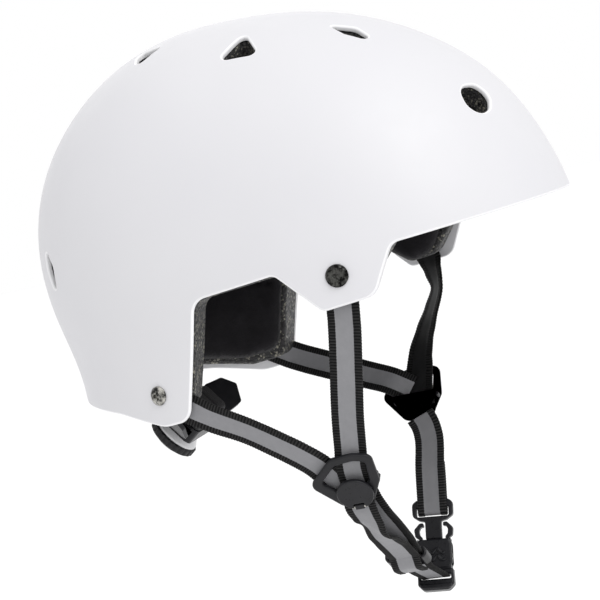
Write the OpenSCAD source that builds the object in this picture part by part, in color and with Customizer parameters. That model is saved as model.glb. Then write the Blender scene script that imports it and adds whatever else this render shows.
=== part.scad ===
// Hard-shell water and street sports helmet with foam liner, webbing harness,
// side-release chin buckle and dial-adjusted nape cradle.
// Frame: +Z up, front of the helmet faces -Y, wearer's left is +X.
// Origin: centre of the head space, level with the forehead opening.

/* [Shell] */
// Half of the shell's outside width at its widest
shell_half_w = 105; // [104:0.5:106]
// Thickness of the hard outer shell
shell_t = 3; // [2.6:0.2:3.2]
// Thickness of the foam liner
liner_t = 20.5; // [19:0.5:21]
// Thickness of the comfort pads
pad_t = 7; // [4:0.5:8]

/* [Harness] */
// Width of the webbing
web_w = 16; // [14:0.5:16.5]
// Thickness of the webbing
web_t = 1.5; // [1.2:0.1:1.6]
// Diameter of the front anchor screw heads
front_head_d = 11; // [9:0.5:12]
// Diameter of the rear anchor screw heads
rear_head_d = 9.6; // [8:0.2:10]

/* [Adjuster] */
// Diameter of the dial knob
dial_d = 28; // [26:0.5:29]
// Number of grip ribs around the dial knob
dial_ribs = 24; // [18:1:28]

/* [Hidden] */

// ---- outer surface -------------------------------------------------------
// Mid-plane radius every 15 degrees, from 45 below the front, over the crown,
// to 45 below the rear: control values of a uniform cubic B-spline.
C = [150, 150.5, 151.5, 151, 146.5, 145, 139.5, 135.5, 132.5, 132, 136.5, 140, 141, 141, 136.5, 129.5, 124.5, 142, 150];
function bs(i, u) = (C[i-1]*pow(1-u, 3) + C[i]*(3*u*u*u - 6*u*u + 4) + C[i+1]*(-3*u*u*u + 3*u*u + 3*u + 1) + C[i+2]*u*u*u)/6;
function prof(p) = let(t = min(max((p + 45)/15, 1), len(C) - 2.001), i = floor(t)) bs(i, t - i);
top_r = prof(90);
function side_r(b) = b >= 0 ? pow(pow(cos(b)/shell_half_w, 2.15) + pow(sin(b)/top_r, 2.15), -1/2.15)
                            : (shell_half_w + 0.02*b)/cos(b);
function rad(th, b) = let(c = cos(th), s = abs(sin(th)), f = prof(b), r = prof(180 - b), n = 2 + 0.25*pow(cos(b), 2))
  pow(pow(abs(c)*2/(f + r), n) + pow(s/side_r(b), n), -1/n) + c*(f - r)/2;
// th: 0 at the front, 90 at the wearer's right, 180 at the rear
function pt(th, b, o = 0) = let(r = rad(th, b) - o) [-r*cos(b)*sin(th), -r*cos(b)*cos(th), r*sin(b)];
function unit(v) = v/norm(v);
function nrm(th, b) = let(n = unit(cross(pt(th + 0.5, b) - pt(th - 0.5, b), pt(th, b + 0.5) - pt(th, b - 0.5))))
  n*pt(th, b) < 0 ? -n : n;

// Closed slab between two offsets of the outer surface over a patch.
module slab(th0, th1, nt, b0, b1, nb, o0, o1, edge = 0) {
  function tt(i) = th0 + (th1 - th0)*i/nt;
  function bb(j) = b0 + (b1 - b0)*j/nb;
  n = nt + 1; m = nb + 1;
  P = concat([for (j = [0:nb], i = [0:nt]) pt(tt(i), bb(j), o0)],
             [for (j = [0:nb], i = [0:nt]) pt(tt(i), bb(j), o1 - ((i == 0 || i == nt || j == 0 || j == nb) ? edge : 0))]);
  function o(i, j) = j*n + i;
  function q(i, j) = n*m + j*n + i;
  F = concat([for (j = [0:nb-1], i = [0:nt-1]) each [[o(i,j), o(i+1,j), o(i+1,j+1)], [o(i,j), o(i+1,j+1), o(i,j+1)]]],
             [for (j = [0:nb-1], i = [0:nt-1]) each [[q(i,j), q(i+1,j+1), q(i+1,j)], [q(i,j), q(i,j+1), q(i+1,j+1)]]],
             [for (i = [0:nt-1]) each [[o(i,0), q(i,0), q(i+1,0)], [o(i,0), q(i+1,0), o(i+1,0)],
                                       [o(i,nb), o(i+1,nb), q(i+1,nb)], [o(i,nb), q(i+1,nb), q(i,nb)]]],
             [for (j = [0:nb-1]) each [[o(0,j), o(0,j+1), q(0,j+1)], [o(0,j), q(0,j+1), q(0,j)],
                                       [o(nt,j), q(nt,j), q(nt,j+1)], [o(nt,j), q(nt,j+1), o(nt,j+1)]]]);
  polyhedron(P, F);
}
// Closed cup from elevation b0 to the pole.
module dome(o0, o1, b0, nt, nb) {
  function bb(j) = b0 + (90 - b0)*j/nb;
  P = concat([for (j = [0:nb-1], i = [0:nt-1]) pt(360*i/nt, bb(j), o0)], [pt(0, 90, o0)],
             [for (j = [0:nb-1], i = [0:nt-1]) pt(360*i/nt, bb(j), o1)], [pt(0, 90, o1)]);
  k = nt*nb + 1;
  function w(i) = i % nt;
  F = concat([for (j = [0:nb-2], i = [0:nt-1]) each [[j*nt+i, j*nt+w(i+1), (j+1)*nt+w(i+1)], [j*nt+i, (j+1)*nt+w(i+1), (j+1)*nt+i]]],
             [for (i = [0:nt-1]) [(nb-1)*nt+i, (nb-1)*nt+w(i+1), nt*nb]],
             [for (j = [0:nb-2], i = [0:nt-1]) each [[k+j*nt+i, k+(j+1)*nt+w(i+1), k+j*nt+w(i+1)], [k+j*nt+i, k+(j+1)*nt+i, k+(j+1)*nt+w(i+1)]]],
             [for (i = [0:nt-1]) [k+(nb-1)*nt+i, k+nt*nb, k+(nb-1)*nt+w(i+1)]],
             [for (i = [0:nt-1]) each [[i, k+i, k+w(i+1)], [i, k+w(i+1), w(i+1)]]]);
  polyhedron(P, F);
}

// ---- rim outline in the side view ----------------------------------------
// A corner list [y, z, radius] turned into a polygon with rounded corners.
function corner(a, p, c, r, n = 5) = let(u = unit(a - p), v = unit(c - p), ang = acos(u*v), d = r/tan(ang/2),
    s = p + u*d, e = p + v*d) r <= 0 ? [p] : [for (k = [0:n]) let(t = k/n)
    let(m = p + unit(u + v)*(r/sin(ang/2)), x = unit(s - m), y = unit((e - m) - x*((e - m)*x)), g = 180 - ang) m + r*(x*cos(g*t) + y*sin(g*t))];
function xy(v) = [v[0], v[1]];
function rounded(L) = [for (i = [0:len(L)-1]) each corner(xy(L[(i + len(L) - 1) % len(L)]), xy(L[i]), xy(L[(i + 1) % len(L)]), L[i][2])];
rim = [[-180, 12, 0], [-75.5, 5.5, 6], [-63.5, -17, 9], [-38, -19.2, 5], [-18, 2.5, 5], [25.3, -1.6, 9],
       [42, -58.3, 9], [57.5, -59.8, 16], [85, -50.8, 60], [180, -35, 0], [180, -120, 0], [-180, -120, 0]];
liner_rim = [[-180, 15, 0], [-77, 9, 6], [-58, -13.6, 8], [-42, -15.2, 5], [-20.5, 1.9, 5], [26, -2.2, 9],
       [40, -52.3, 7], [58.5, -53.2, 16], [85, -44.8, 60], [180, -30, 0], [180, -120, 0], [-180, -120, 0]];
pad_rim = [[-180, 16, 0], [-73, 11, 6], [-57, -13.8, 8], [-43, -16.4, 5], [-22.5, 1.5, 5], [27.5, -1, 9],
       [41, -46.3, 9], [60.5, -47.2, 16], [85, -40.3, 60], [180, -28, 0], [180, -120, 0], [-180, -120, 0]];
module side_cut(L) { rotate([90, 0, 90]) linear_extrude(300, center = true) polygon(rounded(L)); }

// ---- vents -----------------------------------------------------------------
// [th, elevation, list of [u, v, radius]]: u runs round the shell towards the rear, v runs down it
VENTS = [[19.6, 26.4, [[-3.5, -1.5, 6.8], [0, 0, 8.3], [1.5, 1.5, 7.2]]],
         [32, 54.6, [[4, -8.5, 1.3], [-0.8, -1, 4.6], [-3.6, 6, 2.6]]],
         [77.3, 62, [[5.6, 1.8, 3.2], [-1.6, -9.2, 2.6], [-4.6, 2.6, 3.4]]],
         [139, 65.7, [[6, -3, 3], [-3, -4.5, 2.8], [0, 4.5, 3.2]]],
         [151.8, 11.9, [[1, -7.5, 2.2], [-0.8, -1, 4.3], [-1.6, 6.6, 2.6]]]];
module on_shell(th, b, o = 0) { n = nrm(th, b); translate(pt(th, b) - o*n) rotate([0, acos(n[2]), atan2(n[1], n[0])]) children(); }
module vent(v) on_shell(v[0], v[1]) translate([0, 0, -40]) hull() for (c = v[2]) translate([c[1], -c[0], 0]) cylinder(r = c[2], h = 60, $fn = 20);
module vents() {
  for (v = VENTS) { vent(v); mirror([1, 0, 0]) vent(v); }
  vent([180, 18, [[0, -7, 3], [0, 0, 4], [0, 7, 2.5]]]);
}

// ---- anchors ---------------------------------------------------------------
FA = [65.3, -1.9];   // front anchor: direction round the shell, elevation
RA = [121.5, -22]; // rear anchor
module both() { children(); mirror([1, 0, 0]) children(); }
module at_front() both() on_shell(FA[0], FA[1]) children();
module at_rear() both() on_shell(RA[0], RA[1]) rotate(56) children();
module screw(d, h) {
  rotate_extrude($fn = 40) polygon([[0, -8.2], [2, -8.2], [2, 0], [d/2, 0], [d/2, 0.7], [d/2 - 1, h - 0.5], [d/2 - 2.4, h], [2.1, h], [1.6, h - 0.9], [0, h - 0.9]]);
}
module nut() {
  difference() { union() { translate([0, 0, -8]) cylinder(d = 12, h = 1.4, $fn = 36); translate([0, 0, -6.6]) cylinder(r = 3, h = 3.4, $fn = 30); }
    translate([0, 0, -9]) cylinder(r = 2.1, h = 8, $fn = 30); }
}
module washer() { translate([0, 0, -6.4]) difference() { cylinder(d = 14, h = 1, $fn = 40); translate([0, 0, -1]) cylinder(r = 3.2, h = 3, $fn = 30); } }
module strap_tab(len) { translate([0, 0, -5.2]) difference() { translate([-8, -web_w/2, 0]) cube([len + 8, web_w, web_t]); translate([0, 0, -1]) cylinder(r = 3.3, h = 4, $fn = 30); } }
module pocket(len, w = 19) { translate([-11, -10, -9.5]) cube([22, 20, 9]); translate([0, -w/2, -7.4]) cube([len, w, 7.2]); }

module outer_shell() color([0.93, 0.93, 0.95]) difference() {
  dome(0, shell_t, -40, 60, 18);
  side_cut(rim);
  vents();
  at_front() translate([0, 0, -5]) cylinder(r = 2.4, h = 8, $fn = 24);
  at_rear() translate([0, 0, -5]) cylinder(r = 2.4, h = 8, $fn = 24);
}
module eps_liner() color([0.16, 0.16, 0.17]) difference() {
  dome(shell_t + 0.3, shell_t + 0.3 + liner_t, -40, 60, 18);
  side_cut(liner_rim);
  vents();
  at_front() pocket(40);
  at_rear() pocket(40, 26);
}
PO = shell_t + liner_t + 0.9; // offset of the pads' outer faces
module front_pad() color([0.07, 0.07, 0.08]) difference() { slab(-76, 76, 24, -14, 26, 4, PO, PO + pad_t, 1.5); side_cut(pad_rim); }
module side_pad() difference() { slab(98, 152, 9, -32, 26, 6, PO, PO + pad_t, 1.5); side_cut(pad_rim); }
module right_side_pad() color([0.07, 0.07, 0.08]) side_pad();
module left_side_pad() color([0.07, 0.07, 0.08]) mirror([1, 0, 0]) side_pad();
module rear_pad() color([0.07, 0.07, 0.08]) difference() { slab(155, 205, 8, -22, 26, 5, PO, PO + pad_t, 1.5); side_cut(pad_rim); }
module crown_pad() color([0.07, 0.07, 0.08]) intersection() { dome(PO, PO + pad_t, 60, 32, 4); translate([0, 0, 20]) cylinder(r = 30, h = 120, $fn = 64); }

module front_anchor_screws() color([0.12, 0.12, 0.13]) at_front() screw(front_head_d, 2.2);
module rear_anchor_screws() color([0.35, 0.35, 0.36]) at_rear() screw(rear_head_d, 2);
module front_anchor_nuts() color([0.55, 0.55, 0.56]) at_front() nut();
module rear_anchor_nuts() color([0.55, 0.55, 0.56]) at_rear() nut();
module anchor_washers() color([0.6, 0.6, 0.6]) { at_front() washer(); at_rear() washer(); }

// ---- webbing ----------------------------------------------------------------
// path: list of [point, width direction]; the cross-section is a flat rectangle
module ribbon(path, w = web_w, t = web_t) {
  n = len(path);
  function tg(i) = unit(path[min(i + 1, n - 1)][0] - path[max(i - 1, 0)][0]);
  function wd(i) = unit(path[i][1] - tg(i)*(path[i][1]*tg(i)));
  function nn(i) = cross(tg(i), wd(i));
  P = [for (i = [0:n-1]) each [path[i][0] + wd(i)*w/2 + nn(i)*t/2, path[i][0] - wd(i)*w/2 + nn(i)*t/2,
                               path[i][0] - wd(i)*w/2 - nn(i)*t/2, path[i][0] + wd(i)*w/2 - nn(i)*t/2]];
  F = concat([[0, 1, 2], [0, 2, 3]], [for (i = [0:n-2], k = [0:3]) each
      [[4*i + k, 4*i + 4 + k, 4*i + (k + 1) % 4], [4*i + (k + 1) % 4, 4*i + 4 + k, 4*i + 4 + (k + 1) % 4]]],
      [[4*n - 4, 4*n - 2, 4*n - 3], [4*n - 4, 4*n - 1, 4*n - 2]]);
  polyhedron(P, F);
}
RF = [[[-100.3, -46.5, -13], [-0.1, 1, 0.1]], [[-99.2, -45.2, -26], [0, 1, 0.15]], [[-95, -39.5, -50], [0, 1, 0.18]], [[-88.5, -33.5, -72], [0, 1, 0.18]],
      [[-83.3, -29.8, -88], [0, 1, 0.15]], [[-80, -27, -98], [0, 1, 0]], [[-72.6, -27, -110.7], [0, 1, 0]]];
RR = [[[-91.5, 48, -49.8], [-0.1, -0.5, 0.83]], [[-93.2, 41, -54], [-0.2, -0.5, 0.8]], [[-93, 33, -59.5], [-0.35, -0.5, 0.8]], [[-90.7, 17, -68.5], [-0.45, -0.5, 0.75]], [[-86.5, 0, -81], [-0.45, -0.5, 0.7]],
      [[-80, -9.5, -89.6], [-0.39, -0.64, 0.67]], [[-75.3, -25.5, -102], [-0.39, -0.64, 0.67]]];
RC = [[[-69.5, -25.5, -113.6], [0, 1, 0]], [[-66.5, -25.3, -118.8], [0, 1, 0]], [[-58, -25, -129], [0, 1, 0]], [[-46, -25, -139.5], [0.1, 1, -0.1]], [[-28, -25.5, -150.5], [0, 1, 0]],
      [[-15.5, -26, -157.2], [0, 1, 0]], [[-0.5, -26, -166.8], [0, 1, 0]], [[8.5, -27.5, -172.8], [0, 1, 0.05]], [[19.3, -31, -179.6], [-0.07, 1, 0.1]]];
LF = [[[100.2, -46.5, -13], [0.14, 1, 0.1]], [[96.8, -48.6, -23.5], [0.25, 0.9, 0.1]], [[93.5, -52.5, -33], [0.7, 0.6, 0.1]], [[88, -45.5, -48], [0.3, 0.9, 0.3]],
      [[83.2, -38, -62], [0, 1, 0.2]], [[79.8, -34.5, -73.7], [0, 1, 0.15]], [[77, -33, -82], [0, 1, 0]], [[69.6, -33, -94.7], [0, 1, 0]]];
LR = [[[91.5, 48, -49.8], [0.1, -0.5, 0.83]], [[92.5, 41, -54], [0.2, -0.5, 0.8]], [[91.5, 33, -58], [0.3, -0.4, 0.85]], [[87, 16, -65], [0.35, -0.35, 0.85]], [[81, -5, -73.5], [0.4, -0.45, 0.8]],
      [[74.8, -18, -78.2], [0.42, -0.56, 0.72]], [[72.6, -31, -86], [0.42, -0.56, 0.72]]];
LC = [[[66.5, -31.5, -97.6], [0, -1, 0]], [[64.3, -33.8, -101.6], [0.03, -1, -0.05]], [[61, -36.1, -107.2], [0.07, -0.99, -0.1]], [[51.2, -34.6, -127.8], [0.07, -0.99, -0.1]]];
module right_front_strap() color([0.2, 0.2, 0.21]) { on_shell(FA[0], FA[1]) strap_tab(9.4); ribbon(RF); }
module right_rear_strap() color([0.2, 0.2, 0.21]) { on_shell(RA[0], RA[1]) rotate(56) strap_tab(10.6); ribbon(RR); }
module right_chin_strap() color([0.2, 0.2, 0.21]) ribbon(RC);
module left_front_strap() color([0.2, 0.2, 0.21]) { mirror([1, 0, 0]) on_shell(FA[0], FA[1]) strap_tab(9.4); ribbon(LF); }
module left_rear_strap() color([0.2, 0.2, 0.21]) { mirror([1, 0, 0]) on_shell(RA[0], RA[1]) rotate(56) strap_tab(10.6); ribbon(LR); }
module left_chin_strap() color([0.2, 0.2, 0.21]) ribbon(LC);

// ---- strap dividers ----------------------------------------------------------
// Local frame: x towards the front edge, y up, z outward.
module right_div() translate([-78, -25.5, -103.5]) rotate([120, 0, -90]) children();
module left_div() translate([75, -31.5, -87.5]) rotate([120, 0, 90]) mirror([1, 0, 0]) children();
div_out = [[-21.4, 0.6, 4.5], [-6.5, 14.9, 5], [4.5, 15.9, 9], [14.2, 13.4, 4.5], [13.8, -3, 5], [6.8, -16, 6], [-8.4, -15.8, 6]];
div_win = [[-15.2, 1.2, 2.5], [-5, 10.8, 2.5], [4.4, 11.7, 6], [10.2, 10.1, 2.5], [8.6, -2, 3], [3, -6.2, 2], [-8, -6.2, 2]];
module div_frame() difference() {
  union() { linear_extrude(2.4) polygon(rounded(div_out)); }
  translate([0, 0, -1]) linear_extrude(5) polygon(rounded(div_win));
}
module div_body() difference() {
  union() { div_frame(); translate([-2.3, -16.4, 1]) cube([4.6, 3, 4.5]); }
  translate([-6, -15, 4.2]) rotate([0, 90, 0]) cylinder(r = 0.82, h = 12, $fn = 24);
}
plate_out = [[-14.5, -2.5, 1.5], [14.4, -2.5, 1.5], [13.4, -6, 3], [6, -15.4, 6], [-8, -14.8, 6]];
module div_plate() translate([0, 0, -6.6]) linear_extrude(2) polygon(rounded(plate_out));
// round cam cover, hinged along its lower edge
cap_r = 9.2;
module div_latch() difference() {
  translate([0, -7.2, 2.9]) rotate_extrude($fn = 64) polygon([[0, 0], [cap_r - 0.3, 0], [cap_r, 0.4], [cap_r, 1.6], [cap_r - 0.9, 2.4], [0, 2.7]]);
  translate([-2.6, -17, 2]) cube([5.2, 4.3, 6]);
  translate([-10, -18, 2]) cube([20, 2.1, 6]);
  translate([-6, -15, 4.2]) rotate([0, 90, 0]) cylinder(r = 0.87, h = 12, $fn = 24);
}
module latch_pin() translate([-3.9, -15, 4.2]) rotate([0, 90, 0]) cylinder(r = 0.8, h = 7.8, $fn = 24);
// posts that join the front frame to the back plate, outside the webbing
module div_posts() for (p = [[12, -4.6], [-12.2, -5.6]]) translate([p[0], p[1], -4.5]) cylinder(r = 1.1, h = 4.4, $fn = 24);
module right_divider_frame() color([0.1, 0.1, 0.11]) right_div() div_body();
module left_divider_frame() color([0.1, 0.1, 0.11]) left_div() div_body();
module right_divider_plate() color([0.1, 0.1, 0.11]) right_div() div_plate();
module left_divider_plate() color([0.1, 0.1, 0.11]) left_div() div_plate();
module right_divider_latch() color([0.1, 0.1, 0.11]) right_div() div_latch();
module left_divider_latch() color([0.1, 0.1, 0.11]) left_div() div_latch();
module divider_posts() color([0.1, 0.1, 0.11]) { right_div() div_posts(); left_div() div_posts(); }
module latch_pins() color([0.5, 0.5, 0.5]) { right_div() latch_pin(); left_div() latch_pin(); }

// ---- keeper loop on the chin strap ------------------------------------------------
module strap_keeper() color([0.1, 0.1, 0.11]) translate([-8, -26, -162]) rotate([0, 33.7, 0]) difference() {
  translate([-6, -11.5, -3.2]) cube([12, 23, 6.4]);
  translate([-7, -9.2, -1.2]) cube([14, 18.4, 2.4]);
  translate([-2.6, -9.2, 0]) cube([5.2, 18.4, 5]);
}

// ---- side-release buckle -----------------------------------------------------------
// Local frame: x across, y up towards the tongue, z towards the wearer's right.
module buckle() translate([34, -32, -164]) rotate([65, 6, -86]) children();
sock = [[-8.6, 0, 1.2], [-9.6, -3, 2], [-9.6, -13.5, 1], [-8.8, -15, 1], [-9.8, -17, 1], [-10, -25, 2], [-7, -28, 3], [7, -28, 3], [10, -25, 2], [9.8, -17, 1],
        [8.8, -15, 1], [9.6, -13.5, 1], [9.6, -3, 2], [8.6, 0, 1.2]];
module buckle_socket() color([0.09, 0.09, 0.1]) buckle() difference() {
  translate([0, 0, -4]) linear_extrude(8) polygon(rounded(sock));
  translate([-8.1, -14.2, -2.2]) cube([16.2, 15, 4.4]);
  translate([-12, -13, -2.2]) cube([24, 11.5, 4.4]);
  translate([-8.3, -23.6, -5]) cube([16.6, 5.8, 10]);
}
tong = [[-4.2, 0.3, 0.6], [-4.2, 10.4, 0], [-7.5, 10.4, 0.5], [-11.2, 13, 2.5], [-11.4, 21, 2.5], [-8.6, 22.6, 1.5], [8.6, 22.6, 1.5], [11.4, 21, 2.5], [11.2, 13, 2.5],
        [7.5, 10.4, 0.5], [4.2, 10.4, 0], [4.2, 0.3, 0.6]];
module buckle_tongue() color([0.09, 0.09, 0.1]) buckle() difference() {
  union() {
    translate([0, 0, -1.9]) linear_extrude(3.8) polygon(rounded(tong));
    translate([-1.3, -12, -1.5]) cube([2.6, 12.6, 3]);
  }
  translate([-8.8, 13, -3]) cube([17.6, 5.4, 6]);
  translate([-12, 18, 1.2]) cube([24, 6, 2]);
  translate([-12, 18, -3.2]) cube([24, 6, 2]);
}
prong = [[5.2, 9.9, 0.8], [7.2, 9.9, 1], [10.1, 6, 1.5], [9.8, 2.6, 1.5], [7.75, 0.3, 0.8], [7.75, -2.4, 1], [8.4, -5, 1], [9.2, -7.5, 1], [9.9, -10, 0.6],
         [9.2, -11.6, 0.7], [6.9, -11.9, 0.6], [6.3, -4, 1], [6.3, 1.4, 1], [8.3, 3.6, 0.8], [8.2, 5.4, 0.8], [5.2, 7.4, 0.6]];
module prong_r() translate([0, 0, -1.8]) { linear_extrude(3.6) polygon(rounded(prong)); translate([5.8, 8.8, 0]) cylinder(r = 1.2, h = 3.6, $fn = 24); }
module buckle_prong_front() color([0.09, 0.09, 0.1]) buckle() prong_r();
module buckle_prong_rear() color([0.09, 0.09, 0.1]) buckle() mirror([1, 0, 0]) prong_r();
// webbing folded round the tongue's bar: two legs and the turn through the slot
module left_strap_end() color([0.2, 0.2, 0.21]) buckle() translate([-web_w/2, 0, 0]) rotate([0, 90, 0]) linear_extrude(web_w)
  difference() {
    polygon(rounded([[-3.1, 14.2, 1.6], [3.1, 14.2, 1.6], [3.1, 46, 0.4], [-3.1, 46, 0.4]]));
    polygon(rounded([[-1.6, 15.8, 0.8], [1.6, 15.8, 0.8], [1.6, 60, 0], [-1.6, 60, 0]]));
  }

// ---- nape cradle and dial -------------------------------------------------------------
// Local frame: origin at the housing's outer face, z out of the dial, x to the wearer's left, y down.
module dial_frame() translate([0, 81.5, -71]) rotate([-126, 0, 0]) children();
pin_r = 4;       // pitch radius of the pinion
pin_n = 10;      // teeth of the pinion
tooth = 2*PI*pin_r/pin_n;
module pinion2d() polygon([for (k = [0:pin_n-1]) each [for (a = [[-0.5, 3.05], [-0.24, 3.2], [-0.11, 4.65], [0.11, 4.65], [0.24, 3.2]])
    a[1]*[cos(360*(k + a[0])/pin_n), sin(360*(k + a[0])/pin_n)]]]);
function arcp(r0, a0, a1, n) = [for (k = [0:n]) let(a = a0 + (a1 - a0)*k/n) [r0*sin(a), r0*cos(a) - r0]];
// one band: a rack beside the pinion, then a strip that follows the nape
band_R = 88;
arm = [[20, -7.8, 0], [33, -6.5, 3], [39.5, -10.5, 2], [49.5, -7.5, 2], [53, 1, 2], [47.5, 10.5, 2], [38.5, 10, 2], [32, 7.8, 3], [20, 7.8, 0]];
module strip() {
  a0 = asin(20.5/band_R); a1 = 46;
  intersection() {
    translate([0, 14, 0]) rotate([90, 0, 0]) linear_extrude(28)
      polygon(concat([for (k = [0:12]) let(a = a0 + (a1 - a0)*k/12) [band_R*sin(a), band_R*cos(a) - band_R + 0.2]],
                     [for (k = [12:-1:0]) let(a = a0 + (a1 - a0)*k/12) [(band_R - 2)*sin(a), (band_R - 2)*cos(a) - band_R + 0.2]]));
    translate([0, 0, -40]) linear_extrude(60) polygon(rounded(arm));
  }
}
module band() {
  for (k = [-1:4]) translate([k*tooth, 0, -5.2]) linear_extrude(2.4) polygon([[-0.72, 5.3], [-0.28, 3.55], [0.28, 3.55], [0.72, 5.3]]);
  translate([-3.6, 5.2, -5.2]) cube([26, 2.6, 2.4]);
  strip();
}
module left_band() color([0.1, 0.1, 0.11]) dial_frame() band();
module right_band() color([0.1, 0.1, 0.11]) dial_frame() rotate(180) band();
module dial_housing() color([0.1, 0.1, 0.11]) dial_frame() difference() {
  translate([0, 0, -8.4]) linear_extrude(8.4) polygon(rounded([[-19, -11, 4], [19, -11, 4], [19, 11, 4], [-19, 11, 4]]));
  translate([-30, -8.2, -6.9]) cube([60, 16.4, 4.7]);
  translate([0, 0, -6]) cylinder(r = 6.2, h = 8, $fn = 48);
}
module housing_cover() color([0.12, 0.12, 0.13]) dial_frame() translate([0, 0, -10.2]) linear_extrude(1.6) polygon(rounded([[-18, -10, 3], [18, -10, 3], [18, 10, 3], [-18, 10, 3]]));
module nape_bracket() color([0.1, 0.1, 0.11]) dial_frame() difference() {
  translate([0, 0, -12.8]) linear_extrude(2.4) polygon(rounded([[-13, 9, 3], [-15, -14, 4], [-10, -27, 4], [10, -27, 4], [15, -14, 4], [13, 9, 3]]));
  translate([0, -18, -14]) linear_extrude(6) polygon(rounded([[-6, -5, 2], [6, -5, 2], [8, 5, 2], [-8, 5, 2]]));
}
module nape_pad() color([0.07, 0.07, 0.08]) dial_frame() translate([0, 0, -17.7]) linear_extrude(4.6) polygon(rounded([[-24, -9, 4], [24, -9, 4], [24, 9, 4], [-24, 9, 4]]));
module dial_pinion() color([0.75, 0.75, 0.76]) dial_frame() { translate([0, 0, -5.3]) linear_extrude(2.6) pinion2d(); translate([0, 0, -2.7]) cylinder(r = 3, h = 3.2, $fn = 40); }
module dial_ring() color([0.8, 0.8, 0.8]) dial_frame() translate([0, 0, 0.5]) difference() {
  rotate_extrude($fn = 72) polygon([[0, 0], [9.4, 0], [dial_d/2 - 1.2, 5.2], [dial_d/2 - 1.2, 6.4], [0, 6.4]]);
  translate([0, 0, -1]) cylinder(r = 1.7, h = 9, $fn = 30);
}
module dial_knob() color([0.1, 0.1, 0.11]) dial_frame() translate([0, 0, 6.9]) difference() {
  rotate_extrude($fn = 72) polygon([[0, 0], [dial_d/2 - 1.4, 0], [dial_d/2 - 1.4, 4.4], [9, 6.4], [0, 6.4]]);
  translate([0, 0, -1]) cylinder(r = 1.7, h = 9, $fn = 30);
  translate([0, 0, 4.4]) cylinder(r = 3.6, h = 4, $fn = 36);
}
module dial_grip_ring() color([0.13, 0.13, 0.14]) dial_frame() translate([0, 0, 6.9]) difference() {
  linear_extrude(4.4) polygon([for (k = [0:dial_ribs*4-1]) let(r = dial_d/2 + (k % 4 < 2 ? 0 : -0.7)) r*[cos(360*k/(dial_ribs*4)), sin(360*k/(dial_ribs*4))]]);
  translate([0, 0, -1]) cylinder(r = dial_d/2 - 1.3, h = 7, $fn = 72);
}
module dial_screw() color([0.5, 0.5, 0.52]) dial_frame() { translate([0, 0, 11.4]) cylinder(r = 3.2, h = 1.6, $fn = 36); translate([0, 0, 1]) cylinder(r = 1.6, h = 10.5, $fn = 30); }
module detent_spring() color([0.6, 0.6, 0.6]) dial_frame() translate([0, 0, -2.2]) difference() { cylinder(r = 5.9, h = 0.8, $fn = 60); translate([0, 0, -1]) cylinder(r = 3.4, h = 3, $fn = 40); translate([0, -1, -1]) cube([8, 2, 3]); }

outer_shell();
eps_liner();
front_pad();
crown_pad();
right_side_pad();
left_side_pad();
rear_pad();
front_anchor_screws();
rear_anchor_screws();
front_anchor_nuts();
rear_anchor_nuts();
anchor_washers();
right_front_strap();
right_rear_strap();
right_chin_strap();
left_front_strap();
left_rear_strap();
left_chin_strap();
left_strap_end();
right_divider_frame();
right_divider_plate();
right_divider_latch();
left_divider_frame();
left_divider_plate();
left_divider_latch();
divider_posts();
latch_pins();
strap_keeper();
buckle_socket();
buckle_tongue();
buckle_prong_front();
buckle_prong_rear();
dial_housing();
housing_cover();
nape_bracket();
nape_pad();
left_band();
right_band();
dial_pinion();
dial_knob();
dial_grip_ring();
dial_ring();
dial_screw();
detent_spring();
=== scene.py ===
import math
import bpy
import numpy as np
from mathutils import Matrix, Vector
from mathutils.geometry import delaunay_2d_cdt


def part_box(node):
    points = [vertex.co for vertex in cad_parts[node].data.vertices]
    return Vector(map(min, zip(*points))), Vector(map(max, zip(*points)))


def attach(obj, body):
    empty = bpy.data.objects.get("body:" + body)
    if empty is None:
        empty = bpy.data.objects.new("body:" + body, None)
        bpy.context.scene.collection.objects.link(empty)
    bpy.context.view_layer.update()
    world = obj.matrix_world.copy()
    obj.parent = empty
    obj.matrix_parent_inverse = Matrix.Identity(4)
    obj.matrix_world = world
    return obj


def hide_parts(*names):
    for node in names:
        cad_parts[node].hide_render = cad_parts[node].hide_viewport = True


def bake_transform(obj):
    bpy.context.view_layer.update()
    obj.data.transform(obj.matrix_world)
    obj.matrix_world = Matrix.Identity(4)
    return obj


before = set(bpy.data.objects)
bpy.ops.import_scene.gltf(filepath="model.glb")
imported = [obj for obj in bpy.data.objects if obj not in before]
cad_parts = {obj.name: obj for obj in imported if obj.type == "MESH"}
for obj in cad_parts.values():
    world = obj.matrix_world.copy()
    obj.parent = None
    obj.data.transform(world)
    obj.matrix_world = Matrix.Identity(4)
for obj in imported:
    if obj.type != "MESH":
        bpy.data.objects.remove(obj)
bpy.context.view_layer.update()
scene = bpy.context.scene

# ---------------------------------------------------------------- camera, light, stage
cam_data = bpy.data.cameras.new("camera")
cam_data.sensor_width = 36.0
cam_data.lens = 113.4
cam_data.clip_start = 0.05
cam_data.clip_end = 40
cam_data.dof.use_dof = False
cam = bpy.data.objects.new("camera", cam_data)
scene.collection.objects.link(cam)
cx, cy, cz = (0.25537, -0.94041, -0.22453), (0.11918, -0.19984, 0.97255), (-0.95947, -0.27512, 0.06105)
cam.matrix_world = Matrix([[cx[0], cy[0], cz[0], -0.959469], [cx[1], cy[1], cz[1], -0.273123], [cx[2], cy[2], cz[2], 0.043049], [0, 0, 0, 1]])
scene.camera = cam
scene.view_settings.view_transform = "Standard"


def area(name, loc, aim, size, power, colour=(1, 1, 1)):
    d = bpy.data.lights.new(name, "AREA")
    d.shape = "RECTANGLE"
    d.size, d.size_y = size
    d.energy = power
    d.color = colour
    o = bpy.data.objects.new(name, d)
    scene.collection.objects.link(o)
    o.location = loc
    o.rotation_euler = (Vector(aim) - Vector(loc)).to_track_quat("-Z", "Y").to_euler()
    return o


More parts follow.
